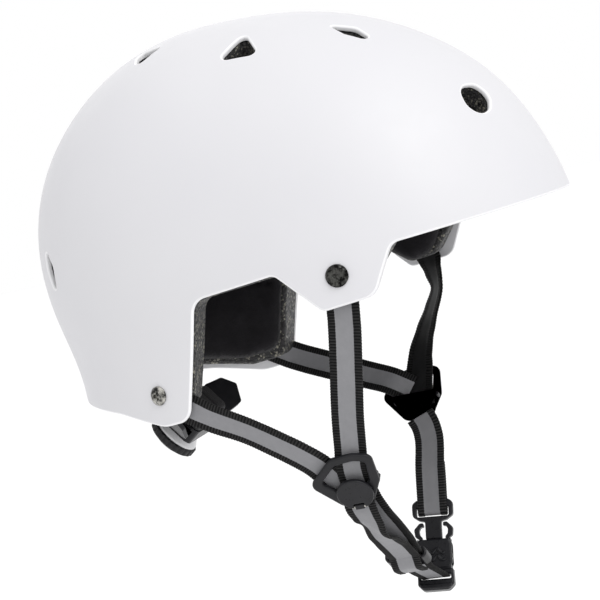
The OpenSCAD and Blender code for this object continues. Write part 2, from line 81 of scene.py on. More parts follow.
area("key", (-1.3, -1.9, 1.9), (0, -0.02, 0), (1.6, 1.4), 36, (1.0, 0.995, 0.985))
area("near_fill", (-2.3, 0.3, 0.3), (0, 0, -0.02), (2.2, 1.8), 0.6, (0.96, 0.96, 1.0))
sun_data = bpy.data.lights.new("overhead", "SUN")
sun_data.energy = 0.42
sun_data.angle = 1.2
sun = bpy.data.objects.new("overhead", sun_data)
scene.collection.objects.link(sun)
sun.rotation_euler = (0.12, -0.1, 0)
area("far_rim", (1.7, 0.9, 0.9), (0, 0, 0), (1.4, 1.4), 3)
world = bpy.data.worlds.new("studio")
scene.world = world
world.use_nodes = True
world.node_tree.nodes["Background"].inputs[0].default_value = (1.0, 1.0, 1.0, 1)
world.node_tree.nodes["Background"].inputs[1].default_value = 1.0


# ---------------------------------------------------------------- materials
class Mat:
    """A node material: a Principled shader and helpers that add nodes to it."""

    def __init__(self, name, **sockets):
        self.m = bpy.data.materials.new(name)
        self.m.use_nodes = True
        self.t = self.m.node_tree
        self.b = self.t.nodes["Principled BSDF"]
        for k, v in sockets.items():
            self.b.inputs[k.replace("_", " ")].default_value = v

    def n(self, kind, **kw):
        x = self.t.nodes.new(kind)
        for k, v in kw.items():
            if k.startswith("i_"):
                x.inputs[k[2:].replace("_", " ")].default_value = v
            else:
                setattr(x, k, v)
        return x

    def link(self, a, b):
        self.t.links.new(a, b)

    def obj(self):
        return self.n("ShaderNodeTexCoord").outputs["Object"]

    def uv(self):
        return self.n("ShaderNodeTexCoord").outputs["UV"]

    def noise(self, vec, scale, detail=2.0, rough=0.5):
        x = self.n("ShaderNodeTexNoise", i_Scale=scale, i_Detail=detail, i_Roughness=rough)
        self.link(vec, x.inputs["Vector"])
        return x.outputs["Fac"]

    def ramp(self, fac, stops):
        x = self.n("ShaderNodeValToRGB")
        e = x.color_ramp.elements
        while len(e) < len(stops):
            e.new(0.5)
        for i, (p, c) in enumerate(stops):
            e[i].position = p
            e[i].color = (*c, 1) if len(c) == 3 else c
        self.link(fac, x.inputs["Fac"])
        return x.outputs["Color"]

    def rng(self, fac, a, b, c, d, smooth=False):
        x = self.n("ShaderNodeMapRange", interpolation_type="SMOOTHSTEP" if smooth else "LINEAR")
        for k, v in zip(("From Min", "From Max", "To Min", "To Max"), (a, b, c, d)):
            x.inputs[k].default_value = v
        self.link(fac, x.inputs["Value"])
        return x.outputs["Result"]

    def math(self, op, a, b=None, c=None):
        x = self.n("ShaderNodeMath", operation=op)
        for i, v in enumerate((a, b, c)):
            if v is None:
                continue
            if isinstance(v, (int, float)):
                x.inputs[i].default_value = v
            else:
                self.link(v, x.inputs[i])
        return x.outputs[0]

    def mix(self, fac, a, b):
        x = self.n("ShaderNodeMix", data_type="RGBA")
        for s, v in ((x.inputs[0], fac), (x.inputs[6], a), (x.inputs[7], b)):
            if isinstance(v, (int, float)):
                s.default_value = v
            elif isinstance(v, tuple):
                s.default_value = (*v, 1)
            else:
                self.link(v, s)
        return x.outputs[2]

    def colour(self, c):
        self.link(c, self.b.inputs["Base Color"])

    def rough(self, r):
        self.link(r, self.b.inputs["Roughness"])

    def bump(self, height, strength, distance):
        x = self.n("ShaderNodeBump", i_Strength=strength, i_Distance=distance)
        self.link(height, x.inputs["Height"])
        self.link(x.outputs[0], self.b.inputs["Normal"])


def plastic(name, base, rough, grain=900, depth=0.00006, spread=0.25, spec=0.5):
    """Moulded plastic: fine spark-eroded grain, slow colour drift, scuffed roughness."""
    k = Mat(name)
    k.b.inputs["Specular IOR Level"].default_value = spec
    o = k.obj()
    slow = k.noise(o, 60, 3)
    lo = tuple(max(c * (1 - spread), 0) for c in base)
    hi = tuple(min(c * (1 + spread), 1) for c in base)
    k.colour(k.mix(k.rng(slow, 0.35, 0.65, 0, 1), lo, hi))
    k.rough(k.rng(k.noise(o, 240, 4, 0.65), 0.3, 0.7, rough - 0.07, rough + 0.09))
    k.bump(k.noise(o, grain, 2, 0.6), 0.35, depth)
    return k.m


def make_shell_mat():
    k = Mat("shell_white")
    k.b.inputs["Specular IOR Level"].default_value = 0.42
    o = k.obj()
    body = k.mix(k.rng(k.noise(o, 9, 2), 0.3, 0.7, 0, 1), (0.575, 0.573, 0.597), (0.60, 0.598, 0.617))
    # painted highlight: the 'edge' attribute lifts the colour towards near-white on the rounded rim and vent edges,
    # standing in for the light those edges catch
    edge = k.n("ShaderNodeAttribute", attribute_name="edge")
    k.colour(k.mix(edge.outputs["Fac"], body, (0.80, 0.80, 0.81)))
    k.rough(k.rng(k.noise(o, 70, 4, 0.6), 0.3, 0.7, 0.44, 0.56))
    k.bump(k.noise(o, 650, 3, 0.6), 0.22, 0.00005)
    return k.m


def make_eps_mat(light=1.0):
    k = Mat("eps_beads" if light == 1.0 else "eps_beads_cut")
    k.b.inputs["Specular IOR Level"].default_value = 0.55
    o = k.obj()
    v = k.n("ShaderNodeTexVoronoi", feature="F1", i_Scale=720.0)
    k.link(o, v.inputs["Vector"])
    e = k.n("ShaderNodeTexVoronoi", feature="DISTANCE_TO_EDGE", i_Scale=720.0)
    k.link(o, e.inputs["Vector"])
    seam = k.rng(e.outputs["Distance"], 0.0, 0.14, 0, 1, True)
    bw = k.n("ShaderNodeSeparateColor")
    k.link(v.outputs["Color"], bw.inputs[0])
    bead = k.ramp(bw.outputs[0], [(0.0, (0.006 * light, 0.006 * light, 0.007 * light)), (0.5, (0.022 * light, 0.021 * light, 0.023 * light)), (0.72, (0.06 * light, 0.058 * light, 0.055 * light)), (0.9, (0.20 * light, 0.19 * light, 0.155 * light))])
    k.colour(k.mix(seam, (0.004, 0.004, 0.0045), bead))
    k.rough(k.rng(bw.outputs[1], 0, 1, 0.38, 0.72))
    h = k.math("ADD", seam, k.math("MULTIPLY", v.outputs["Distance"], -0.8))
    k.bump(h, 0.85, 0.0007)
    return k.m


def make_pad_mat():
    k = Mat("pad_knit")
    k.b.inputs["Sheen Weight"].default_value = 0.06
    k.b.inputs["Sheen Roughness"].default_value = 0.5
    k.b.inputs["Specular IOR Level"].default_value = 0.2
    o = k.obj()
    fuzz = k.noise(o, 2600, 3, 0.7)
    slow = k.noise(o, 110, 4, 0.6)
    v = k.n("ShaderNodeTexVoronoi", feature="F1", i_Scale=1100.0)
    k.link(o, v.inputs["Vector"])
    k.colour(k.mix(k.rng(slow, 0.3, 0.7, 0, 1), (0.0045, 0.004, 0.0052), (0.0105, 0.0095, 0.0115)))
    k.rough(k.rng(fuzz, 0.2, 0.8, 0.82, 0.98))
    k.bump(k.math("ADD", fuzz, v.outputs["Distance"]), 0.6, 0.0003)
    return k.m


def make_web_mat(name="webbing", grey=0.225, black=0.006):
    """Woven band: ribbed black selvedges and a smooth grey stripe in the middle. u runs across, v along it in centimetres."""
    k = Mat(name)
    k.b.inputs["Specular IOR Level"].default_value = 0.12
    s = k.n("ShaderNodeSeparateXYZ")
    k.link(k.uv(), s.inputs[0])
    u, v = s.outputs[0], s.outputs[1]
    o = k.obj()
    across = k.math("ABSOLUTE", k.math("SUBTRACT", u, 0.5))
    wob = k.math("MULTIPLY", k.math("SUBTRACT", k.noise(o, 700, 2), 0.5), 0.012)
    mask = k.rng(k.math("ADD", across, wob), 0.262, 0.272, 1, 0)
    ribs = k.math("SINE", k.math("MULTIPLY", v, 2 * math.pi / 0.15))
    ribs01 = k.rng(ribs, -0.6, 0.9, 0, 1, True)
    fine = k.rng(k.math("SINE", k.math("MULTIPLY", v, 2 * math.pi / 0.05)), -1, 1, 0, 1)
    warp = k.rng(k.math("SINE", k.math("MULTIPLY", u, 2 * math.pi * 26)), -1, 1, 0, 1)
    var = k.rng(k.noise(o, 260, 4, 0.7), 0.3, 0.7, 0, 1)
    # painted shade and highlight: the selvedge colour follows the rib bump, darker in the grooves and lighter on the
    # crests
    edge = k.mix(ribs01, (black * 0.35, black * 0.35, black * 0.4), k.mix(var, (black * 2.2, black * 2.2, black * 2.3), (black * 4.6, black * 4.5, black * 4.4)))
    mid = k.mix(k.math("MULTIPLY", fine, 0.5), (grey, grey, grey * 1.05), (grey * 0.72, grey * 0.72, grey * 0.76))
    mid = k.mix(k.math("MULTIPLY", var, 0.35), mid, (grey * 1.18, grey * 1.18, grey * 1.22))
    k.colour(k.mix(mask, edge, mid))
    k.rough(k.mix(mask, (0.62, 0.62, 0.62), (0.46, 0.46, 0.46)))
    low = k.math("MULTIPLY", mask, k.math("ADD", k.math("MULTIPLY", fine, 0.25), k.math("MULTIPLY", warp, 0.15)))
    high = k.math("MULTIPLY", k.math("SUBTRACT", 1.0, mask), k.math("ADD", k.math("MULTIPLY", ribs01, 0.7), k.math("MULTIPLY", warp, 0.5)))
    k.bump(k.math("ADD", low, high), 0.6, 0.00022)
    return k.m


def make_steel(name, base, rough, wear_and_reflection_dark, scale):
    k = Mat(name, Metallic=1.0)
    o = k.obj()
    # painted reflection mixed with wear: large noise patches run between base and a dark colour, standing in for dark
    # surroundings reflected in the steel as well as worn spots
    k.colour(k.mix(k.rng(k.noise(o, scale, 4, 0.7), 0.42, 0.58, 0, 1), (wear_and_reflection_dark, wear_and_reflection_dark, wear_and_reflection_dark), base))
    k.rough(k.rng(k.noise(o, 800, 3), 0.3, 0.7, rough - 0.08, rough + 0.1))
    k.bump(k.noise(o, 1500, 2), 0.15, 0.00004)
    return k.m


M_SHELL = make_shell_mat()
M_EPS = make_eps_mat()
M_PAD = make_pad_mat()
M_WEB = make_web_mat()
M_WEB_DARK = make_web_mat("webbing_inner", 0.18, 0.008)
# painted shade: a copy of the webbing with the grey stripe darkened to near-black, for the far front strap that sits in
# shade
M_WEB_PAINTED_SHADE = make_web_mat("webbing_painted_shade", 0.012, 0.003)
M_BLACK = plastic("black_plastic", (0.011, 0.011, 0.013), 0.38, spec=0.22)
M_BLACK2 = plastic("black_plastic_smooth", (0.010, 0.010, 0.012), 0.3, 1400, 0.00003, spec=0.24)
M_RUBBER = plastic("grip_rubber", (0.008, 0.008, 0.009), 0.5, 700, 0.0001, spec=0.3)
M_GREY = plastic("dial_grey_plastic", (0.56, 0.56, 0.57), 0.33, 1200, 0.00003, 0.04)
M_NYLON = plastic("gear_nylon", (0.66, 0.66, 0.63), 0.42, 1200, 0.00003, 0.05)
# both steels carry painted reflection patches, mixed with wear, from make_steel
M_STEEL = make_steel("screw_steel", (0.42, 0.41, 0.38), 0.2, 0.02, 210)
M_SCREW = make_steel("screw_black_steel", (0.075, 0.075, 0.07), 0.3, 0.005, 330)

# ---------------------------------------------------------------- outer surface, as in the CAD, in millimetres
C = np.array([150, 150.5, 151.5, 151, 146.5, 145, 139.5, 135.5, 132.5, 132, 136.5, 140, 141, 141, 136.5, 129.5, 124.5, 142, 150])


def sn(a):
    return np.sin(np.radians(a))


def cs(a):
    return np.cos(np.radians(a))


def prof(p):
    t = np.clip((np.asarray(p, float) + 45) / 15, 1, len(C) - 2.001)
    i = np.floor(t).astype(int)
    u = t - i
    return (C[i - 1] * (1 - u) ** 3 + C[i] * (3 * u**3 - 6 * u * u + 4) + C[i + 1] * (-3 * u**3 + 3 * u * u + 3 * u + 1) + C[i + 2] * u**3) / 6


TOP = float(prof(90.0))


def radius(th, b):
    th, b = np.asarray(th, float), np.asarray(b, float)
    cb, sb = np.maximum(cs(b), 1e-7), sn(b)
    side = np.where(b >= 0, ((cb / 105) ** 2.15 + (np.maximum(sb, 0) / TOP) ** 2.15) ** (-1 / 2.15), (105 + 0.02 * b) / cb)
    f, r, n = prof(b), prof(180 - b), 2 + 0.25 * cs(b) ** 2
    return ((np.abs(cs(th)) * 2 / (f + r)) ** n + (np.abs(sn(th)) / side) ** n) ** (-1 / n) + cs(th) * (f - r) / 2


def direction(th, b):
    return np.stack([-cs(b) * sn(th), -cs(b) * cs(th), sn(b) * np.ones_like(th)], -1)


def surf(th, b, o=0.0):
    th, b = np.broadcast_arrays(np.asarray(th, float), np.asarray(b, float))
    return (radius(th, b) - o)[..., None] * direction(th, b)


def polar(p):
    r = np.maximum(np.linalg.norm(p, axis=-1), 1e-9)
    return np.degrees(np.arctan2(-p[..., 0], -p[..., 1])) % 360, np.degrees(np.arcsin(np.clip(p[..., 2] / r, -1, 1))), r


def level(p):
    th, b, r = polar(p)
    return r - radius(th, b)


def normals(p):
    g = np.stack([level(p + d) - level(p - d) for d in np.eye(3) * 0.25], -1)
    return g / np.linalg.norm(g, axis=-1, keepdims=True)


def unit(v):
    return v / np.maximum(np.linalg.norm(v, axis=-1, keepdims=True), 1e-12)


# ---------------------------------------------------------------- rim outlines in the side view: [y, z, corner radius]
RIM = [[-180, 12, 0], [-75.5, 5.5, 6], [-63.5, -17, 9], [-38, -19.2, 5], [-18, 2.5, 5], [25.3, -1.6, 9], [42, -58.3, 9], [57.5, -59.8, 16], [85, -50.8, 60], [180, -35, 0]]
LINER_RIM = [[-180, 15, 0], [-77, 9, 6], [-58, -13.6, 8], [-42, -15.2, 5], [-20.5, 1.9, 5], [26, -2.2, 9], [40, -52.3, 7], [58.5, -53.2, 16], [85, -44.8, 60], [180, -30, 0]]
PAD_RIM = [[-180, 16, 0], [-73, 11, 6], [-57, -13.8, 8], [-43, -16.4, 5], [-22.5, 1.5, 5], [27.5, -1, 9], [41, -48.8, 9], [60.5, -50, 16], [85, -42.8, 60], [180, -28, 0]]


def corner(a, p, c, r, n=10):
    a, p, c = np.array(a, float), np.array(p, float), np.array(c, float)
    if r <= 0:
        return [p]
    u, v = unit(a - p), unit(c - p)
    ang = math.acos(float(np.clip(u @ v, -1, 1)))
    d = r / math.tan(ang / 2)
    s, e = p + u * d, p + v * d
    m = p + unit(u + v) * (r / math.sin(ang / 2))
    x = unit(s - m)
    y = unit((e - m) - x * ((e - m) @ x))
    g = math.pi - ang
    return [m + r * (x * math.cos(g * k / n) + y * math.sin(g * k / n)) for k in range(n + 1)]


def rounded(L, closed=True, n=10):
    out, N = [], len(L)
    for i in range(N):
        if not closed and i in (0, N - 1):
            out.append(np.array(L[i][:2], float))
        else:
            out += corner(L[(i - 1) % N][:2], L[i][:2], L[(i + 1) % N][:2], L[i][2], n)
    return np.array(out)


def rim_height(L):
    p = rounded(L, False)
    return lambda y: np.interp(y, p[:, 0], p[:, 1])


def solve_b(th, rz, o):
    """Elevation at which the surface crosses the rim in each direction th."""
    th = np.asarray(th, float)
    lo, hi = np.full(th.shape, -62.0), np.full(th.shape, 50.0)
    for _ in range(40):
        mid = (lo + hi) / 2
        p = surf(th, mid, o)
        up = p[..., 2] > rz(p[..., 1])
        hi, lo = np.where(up, mid, hi), np.where(up, lo, mid)
    return (lo + hi) / 2


def even_loop(p, ds, close=True):
    """Indices as floats of evenly spaced points round a closed polyline."""
    q = np.vstack([p, p[:1]]) if close else p
    s = np.concatenate([[0], np.cumsum(np.linalg.norm(np.diff(q, axis=0), axis=1))])
    n = max(int(round(s[-1] / ds)), 8)
    t = np.linspace(0, s[-1], n + 1)[: n if close else n + 1]
    return np.interp(t, s, np.arange(len(q)))


def rim_loop(L, o, ds):
    rz = rim_height(L)
    th = np.arange(0, 360, 0.1)
    k = even_loop(surf(th, solve_b(th, rz, o), o), ds)
    t = np.interp(k, np.arange(3601), np.append(th, 360.0)) % 360
    return t, solve_b(t, rz, o)


def rim_inner(L, th, b, o0, o1):
    """The points on the deeper surface that face a rim loop: straight in along X at the sides, radial at the front and rear."""
    rz = rim_height(L)
    p = surf(th, b, o0)
    lo, hi = np.zeros(len(p)), np.full(len(p), 125.0)
    for _ in range(40):
        mid = (lo + hi) / 2
        q = np.stack([mid, p[:, 1], p[:, 2]], -1)
        out = level(q) + o1 > 0
        hi, lo = np.where(out, mid, hi), np.where(out, lo, mid)
    q = np.stack([np.sign(p[:, 0]) * lo, p[:, 1], p[:, 2]], -1)
    t1 = polar(q)[0]
    w = np.clip((np.abs(p[:, 1]) - 62) / 34, 0, 1)
    w = w * w * (3 - 2 * w)
    dt = (th - t1 + 180) % 360 - 180
    t = (t1 + dt * w) % 360
    return t, solve_b(t, rz, o1)


# ---------------------------------------------------------------- vents: direction, elevation, [u, v, radius] circles
VENTS = [
    [19.6, 26.4, [[-3.5, -1.5, 6.8], [0, 0, 8.3], [1.5, 1.5, 7.2]]],
    [32, 54.6, [[4, -8.5, 1.3], [-0.8, -1, 4.6], [-3.6, 6, 2.6]]],
    [77.3, 62, [[5.6, 1.8, 3.2], [-1.6, -9.2, 2.6], [-4.6, 2.6, 3.4]]],
    [139, 65.7, [[6, -3, 3], [-3, -4.5, 2.8], [0, 4.5, 3.2]]],
    [151.8, 11.9, [[1, -7.5, 2.2], [-0.8, -1, 4.3], [-1.6, 6.6, 2.6]]],
    [180, 18, [[0, -7, 3], [0, 0, 4], [0, 7, 2.5]]],
]


def hull2(pts):
    pts = sorted(map(tuple, pts))

    def half(ps):
        h = []
        for p in ps:
            while len(h) > 1 and (h[-1][0] - h[-2][0]) * (p[1] - h[-2][1]) - (h[-1][1] - h[-2][1]) * (p[0] - h[-2][0]) <= 0:
                h.pop()
            h.append(p)
        return h[:-1]

    return np.array(half(pts) + half(pts[::-1]))


def local_frame(th, b):
    p = surf(np.array([th], float), np.array([b], float))[0]
    n = normals(p[None])[0]
    a, z = math.acos(n[2]), math.atan2(n[1], n[0])
    ry = np.array([[math.cos(a), 0, math.sin(a)], [0, 1, 0], [-math.sin(a), 0, math.cos(a)]])
    rzm = np.array([[math.cos(z), -math.sin(z), 0], [math.sin(z), math.cos(z), 0], [0, 0, 1]])
    return p, rzm @ ry


def vent_loop(v, o, ds=0.8, grow=0.0, n=None):
    a = np.linspace(0, 2 * math.pi, 64, endpoint=False)
    pts = np.vstack([[[c[1] + (c[2] + grow) * math.cos(t), -c[0] + (c[2] + grow) * math.sin(t)] for t in a] for c in v[2]])
    h = hull2(pts)
    k = even_loop(h, ds)
    hh = np.vstack([h, h[:1]])
    if n:
        k = np.linspace(0, 1, n, endpoint=False)
        s = np.concatenate([[0], np.cumsum(np.linalg.norm(np.diff(hh, axis=0), axis=1))])
        k = np.interp(k * s[-1], s, np.arange(len(hh)))
    x = np.stack([np.interp(k, np.arange(len(hh)), hh[:, i]) for i in (0, 1)], -1)
    p0, R = local_frame(v[0], v[1])
    lo, hi = np.full(len(x), -o - 14.0), np.full(len(x), 8.0)
    for _ in range(40):
        mid = (lo + hi) / 2
        q = p0 + np.column_stack([x, mid]) @ R.T
        out = level(q) + o > 0
        hi, lo = np.where(out, mid, hi), np.where(out, lo, mid)
    return p0 + np.column_stack([x, lo]) @ R.T


def all_vents(o, n_for=None):
    loops = []
    for i, v in enumerate(VENTS):
        n = n_for[len(loops)] if n_for else None
        p = vent_loop(v, o, n=n)
        loops.append(p)
        if v[0] != 180:
            loops.append(p * [-1, 1, 1])
    return loops


# ---------------------------------------------------------------- meshes
def mesh(name, V, F, N=None, uv=None, mat=None, body="helmet", smooth=True, scale=0.001, angle=None, edge=None):
    me = bpy.data.meshes.new(name)
    me.from_pydata((np.asarray(V, float) * scale).tolist(), [], [list(map(int, f)) for f in F])
    me.update()
    # optional per-point 'edge' weight, which the shell material uses for its painted edge highlight
    if edge is not None:
        me.attributes.new("edge", "FLOAT", "POINT").data.foreach_set("value", np.asarray(edge, float))
    if uv is not None:
        layer = me.uv_layers.new(name="UVMap")
        li = np.zeros(len(me.loops), int)
        me.loops.foreach_get("vertex_index", li)
        layer.data.foreach_set("uv", np.asarray(uv, float)[li].ravel())
    if smooth:
        me.polygons.foreach_set("use_smooth", [True] * len(me.polygons))
    if N is not None:
        me.normals_split_custom_set_from_vertices(np.asarray(N, float).tolist())
    elif angle:
        me.set_sharp_from_angle(angle=math.radians(angle))
    o = bpy.data.objects.new(name, me)
    scene.collection.objects.link(o)
    if mat is not None:
        me.materials.append(mat)
    if body:
        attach(o, body)
    return o


def face_out(V, F, N):
    """Turns each face so that it agrees with its vertices' normals."""
    out = []
    V, N = np.asarray(V), np.asarray(N)
    for f in F:
        f = list(f)
        a, b, c = V[f[0]], V[f[1]], V[f[2]]
        n = np.cross(b - a, c - a)
        if len(f) == 4:
            n = n + np.cross(c - a, V[f[3]] - a)
        out.append(f[::-1] if n @ N[f].sum(0) < 0 else f)
    return out


def inside(p, poly):
    x, y = p[:, 0][:, None], p[:, 1][:, None]
    a, b = poly, np.roll(poly, -1, axis=0)
    cond = (a[:, 1] > y) != (b[:, 1] > y)
    with np.errstate(divide="ignore", invalid="ignore"):
        xi = (b[:, 0] - a[:, 0]) * (y - a[:, 1]) / (b[:, 1] - a[:, 1]) + a[:, 0]
    return (np.sum(cond & (x < xi), axis=1) % 2) == 1


def far_from(p, loops, d):
    pts = np.vstack(loops)
    keep = np.ones(len(p), bool)
    for i in range(0, len(p), 2000):
        q = p[i : i + 2000]
        keep[i : i + 2000] = ((q[:, None, :] - pts[None]) ** 2).sum(-1).min(1) > d * d
    return keep


def triangulate(loops, spacing, fine=None):
    """Triangles between an outer loop and holes in the plane, with a hexagonal grid of points inside."""
    outer = loops[0]
    lo, hi = outer.min(0), outer.max(0)
    pts = np.zeros((0, 2))
    if spacing:
        ys = np.arange(lo[1], hi[1], spacing * 0.866)
        pts = np.array([(x + (j % 2) * spacing / 2, y) for j, y in enumerate(ys) for x in np.arange(lo[0], hi[0], spacing)])
        keep = inside(pts, outer)
        for h in loops[1:]:
            keep &= ~inside(pts, h)
        pts = pts[keep]
        pts = pts[far_from(pts, loops, spacing * 0.55)]
    allp = np.vstack(list(loops) + [pts])
    edges, k = [], 0
    for l in loops:
        n = len(l)
        edges += [(k + i, k + (i + 1) % n) for i in range(n)]
        k += n
    vo, eo, fo, ov, oe, of_ = delaunay_2d_cdt([Vector(p) for p in allp], edges, [], 0, 1e-7)
    back = [x[0] if x else -1 for x in ov]
    tri = np.array([[back[i] for i in f] for f in fo if len(f) == 3])
    tri = tri[(tri >= 0).all(1)]
    c = allp[tri].mean(1)
    keep = inside(c, outer)
    for h in loops[1:]:
        keep &= ~inside(c, h)
    return pts, tri[keep]


def plane(p):
    th, b, _ = polar(p)
    k = 90 - b
    return np.stack([k * sn(th), k * cs(th)], -1)


def unplane(q):
    k = np.linalg.norm(q, axis=-1)
    return np.degrees(np.arctan2(q[:, 0], q[:, 1])) % 360, 90 - k


def rim_frames(p, n):
    """Tangent-plane directions that point out of the material at each point of a closed loop."""
    t = unit(np.roll(p, -1, 0) - np.roll(p, 1, 0))
    return unit(np.cross(t, n))


def thick_skin(loops0, loops1, o0, o1, r0, r1, spacing, depth=None, seg=4):
    """A skin between two offsets of the surface. loops0 and loops1 are matching edge loops on its two faces."""
    V, N, F = [], [], []
    count = 0
    ends0, ends1, nrm0, nrm1, out0, out1 = [], [], [], [], [], []
    for k, (a, b) in enumerate(zip(loops0, loops1)):
        na, nb = normals(a), normals(b)
        ca, cb = rim_frames(a, na), rim_frames(b, nb)
        probe = plane(a + ca * 0.6)
        if k == 0:
            flip = np.mean(inside(probe, plane(a))) > 0.5
        else:
            flip = np.mean(inside(probe, plane(a))) < 0.5
        if flip:
            ca, cb = -ca, -cb
        ends0.append(a); ends1.append(b); nrm0.append(na); nrm1.append(nb); out0.append(ca); out1.append(cb)

    def face(loops, offset, sign, dig):
        on = []
        for p in loops:
            th, b, _ = polar(p)
            on.append(surf(th, b, offset))
        q = [plane(p) for p in on]
        pts, tri = triangulate(q, spacing)
        th, b = unplane(pts)
        grid = surf(th, b, offset) if len(pts) else np.zeros((0, 3))
        v = np.vstack(on + [grid])
        n = normals(v) * sign
        if dig is not None:
            g = dig(v)
            e = 0.6
            v2 = v - n * g[:, None]
            slope = np.stack([dig(v + d) - dig(v - d) for d in np.eye(3) * e], -1) / (2 * e)
            slope = slope - n * (slope * n).sum(-1, keepdims=True)
            n = unit(n + slope)
            v = v2
        return v, n, tri

    top_loops = [a - c * r0 for a, c in zip(ends0, out0)]
    low_loops = [b - c * r1 for b, c in zip(ends1, out1)]
    v, n, t = face(top_loops, o0, 1, None)
    V.append(v); N.append(n); F += t.tolist()
    starts0 = np.concatenate([[0], np.cumsum([len(a) for a in ends0])])[:-1]
    count = len(v)
    v, n, t = face(low_loops, o1, -1, depth)
    V.append(v); N.append(n); F += (t + count).tolist()
    starts1 = starts0 + count
    count += len(v)
    patches = count
    for k in range(len(ends0)):
        a, b, na, nb, ca, cb = ends0[k], ends1[k], nrm0[k], nrm1[k], out0[k], out1[k]
        m = len(a)
        rings = []
        for i in range(1, seg + 1):
            f = math.pi / 2 * i / seg
            rings.append((a - r0 * ca - r0 * na + r0 * (math.sin(f) * ca + math.cos(f) * na), math.sin(f) * ca + math.cos(f) * na))
        for i in range(0, seg):
            f = math.pi / 2 * i / seg
            rings.append((b - r1 * cb + r1 * nb + r1 * (math.cos(f) * cb - math.sin(f) * nb), math.cos(f) * cb - math.sin(f) * nb))
        ids = [starts0[k] + np.arange(m)]
        for p, q in rings:
            V.append(p); N.append(unit(q))
            ids.append(count + np.arange(m)); count += m
        ids.append(starts1[k] + np.arange(m))
        for x, y in zip(ids[:-1], ids[1:]):
            for i in range(m):
                j = (i + 1) % m
                F.append([x[i], x[j], y[j], y[i]])
    V, N = np.vstack(V), np.vstack(N)
    # painted highlight weight: 0.7 on every fillet ring of the rim and vent edges, 0 on the two faces; the shell
    # material reads it as 'edge'
    edge = np.zeros(len(V))
    edge[patches:] = 0.7
    return V, N, face_out(V, F, N), edge


def edge_loops(spec_rim, o0, o1, ds, vents=True):
    th, b = rim_loop(spec_rim, o0, ds)
    t1, b1 = rim_inner(spec_rim, th, b, o0, o1)
    l0, l1 = [surf(th, b, o0)], [surf(t1, b1, o1)]
    if vents:
        a = all_vents(o0)
        l0 += a
        l1 += all_vents(o1, [len(x) for x in a])
    return l0, l1


T_SHELL = 3.0
l0, l1 = edge_loops(RIM, 0.0, T_SHELL, 1.2)
# the fourth result is the painted highlight weight of the rim and vent edges
V, N, F, painted_edge_highlight = thick_skin(l0, l1, 0.0, T_SHELL, 1.25, 0.8, 2.4)
shell = mesh("shell_skin", V, F, N, mat=M_SHELL, edge=painted_edge_highlight)
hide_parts("outer_shell")

O0, O1 = 3.3, 23.8


def channels(p):
    """Shallow air channels moulded into the liner's inner face."""
    th, b, _ = polar(p)
    up = np.clip((b - 22) / 12, 0, 1)
    g = np.zeros(len(p))
    for x0 in (-44, -15, 15, 44):
        g = np.maximum(g, 1 - np.clip((np.abs(p[:, 0] - x0) - 3.5) / 2.5, 0, 1))
    for y0 in (-34, 40):
        g = np.maximum(g, 1 - np.clip((np.abs(p[:, 1] - y0) - 3.5) / 2.5, 0, 1))
    g = g * g * (3 - 2 * g)
    return -2.6 * g * up * up * (3 - 2 * up)


l0, l1 = edge_loops(LINER_RIM, O0, O1, 1.8)
V, N, F, _ = thick_skin(l0, l1, O0, O1, 1.5, 2.2, 2.0, channels)
liner = mesh("liner_foam", V, F, N, mat=M_EPS)
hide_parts("eps_liner")


# ---------------------------------------------------------------- pads
PO, PT = 24.4, 7.0


def smooth_loop(p, rounds=3):
    for _ in range(rounds):
        q = np.roll(p, -1, 0)
        p = np.stack([0.75 * p + 0.25 * q, 0.25 * p + 0.75 * q], 1).reshape(-1, 2)
    return p


def pad_outline(th0, th1, b0, b1, shrink=0.8):
    rz = rim_height(PAD_RIM)
    th = np.linspace(th0, th1, 60)
    low = np.maximum(solve_b(th % 360, rz, PO + 3), b0)
    top = np.full(60, float(b1))
    ring = np.concatenate([np.stack([th, low], -1), np.stack([th[::-1], top], -1)])
    q = np.stack([(90 - ring[:, 1]) * sn(ring[:, 0]), (90 - ring[:, 1]) * cs(ring[:, 0])], -1)
    k = even_loop(q, 5.0)
    qq = np.vstack([q, q[:1]])
    q = np.stack([np.interp(k, np.arange(len(qq)), qq[:, i]) for i in (0, 1)], -1)
    q = smooth_loop(q, 2)
    k = even_loop(q, 0.9)
    qq = np.vstack([q, q[:1]])
    q = np.stack([np.interp(k, np.arange(len(qq)), qq[:, i]) for i in (0, 1)], -1)
    t = unit(np.roll(q, -1, 0) - np.roll(q, 1, 0))
    c = np.stack([t[:, 1], -t[:, 0]], -1)
    if np.mean(inside(q + 0.2 * c, q)) < 0.5:
        c = -c
    return q + shrink * c


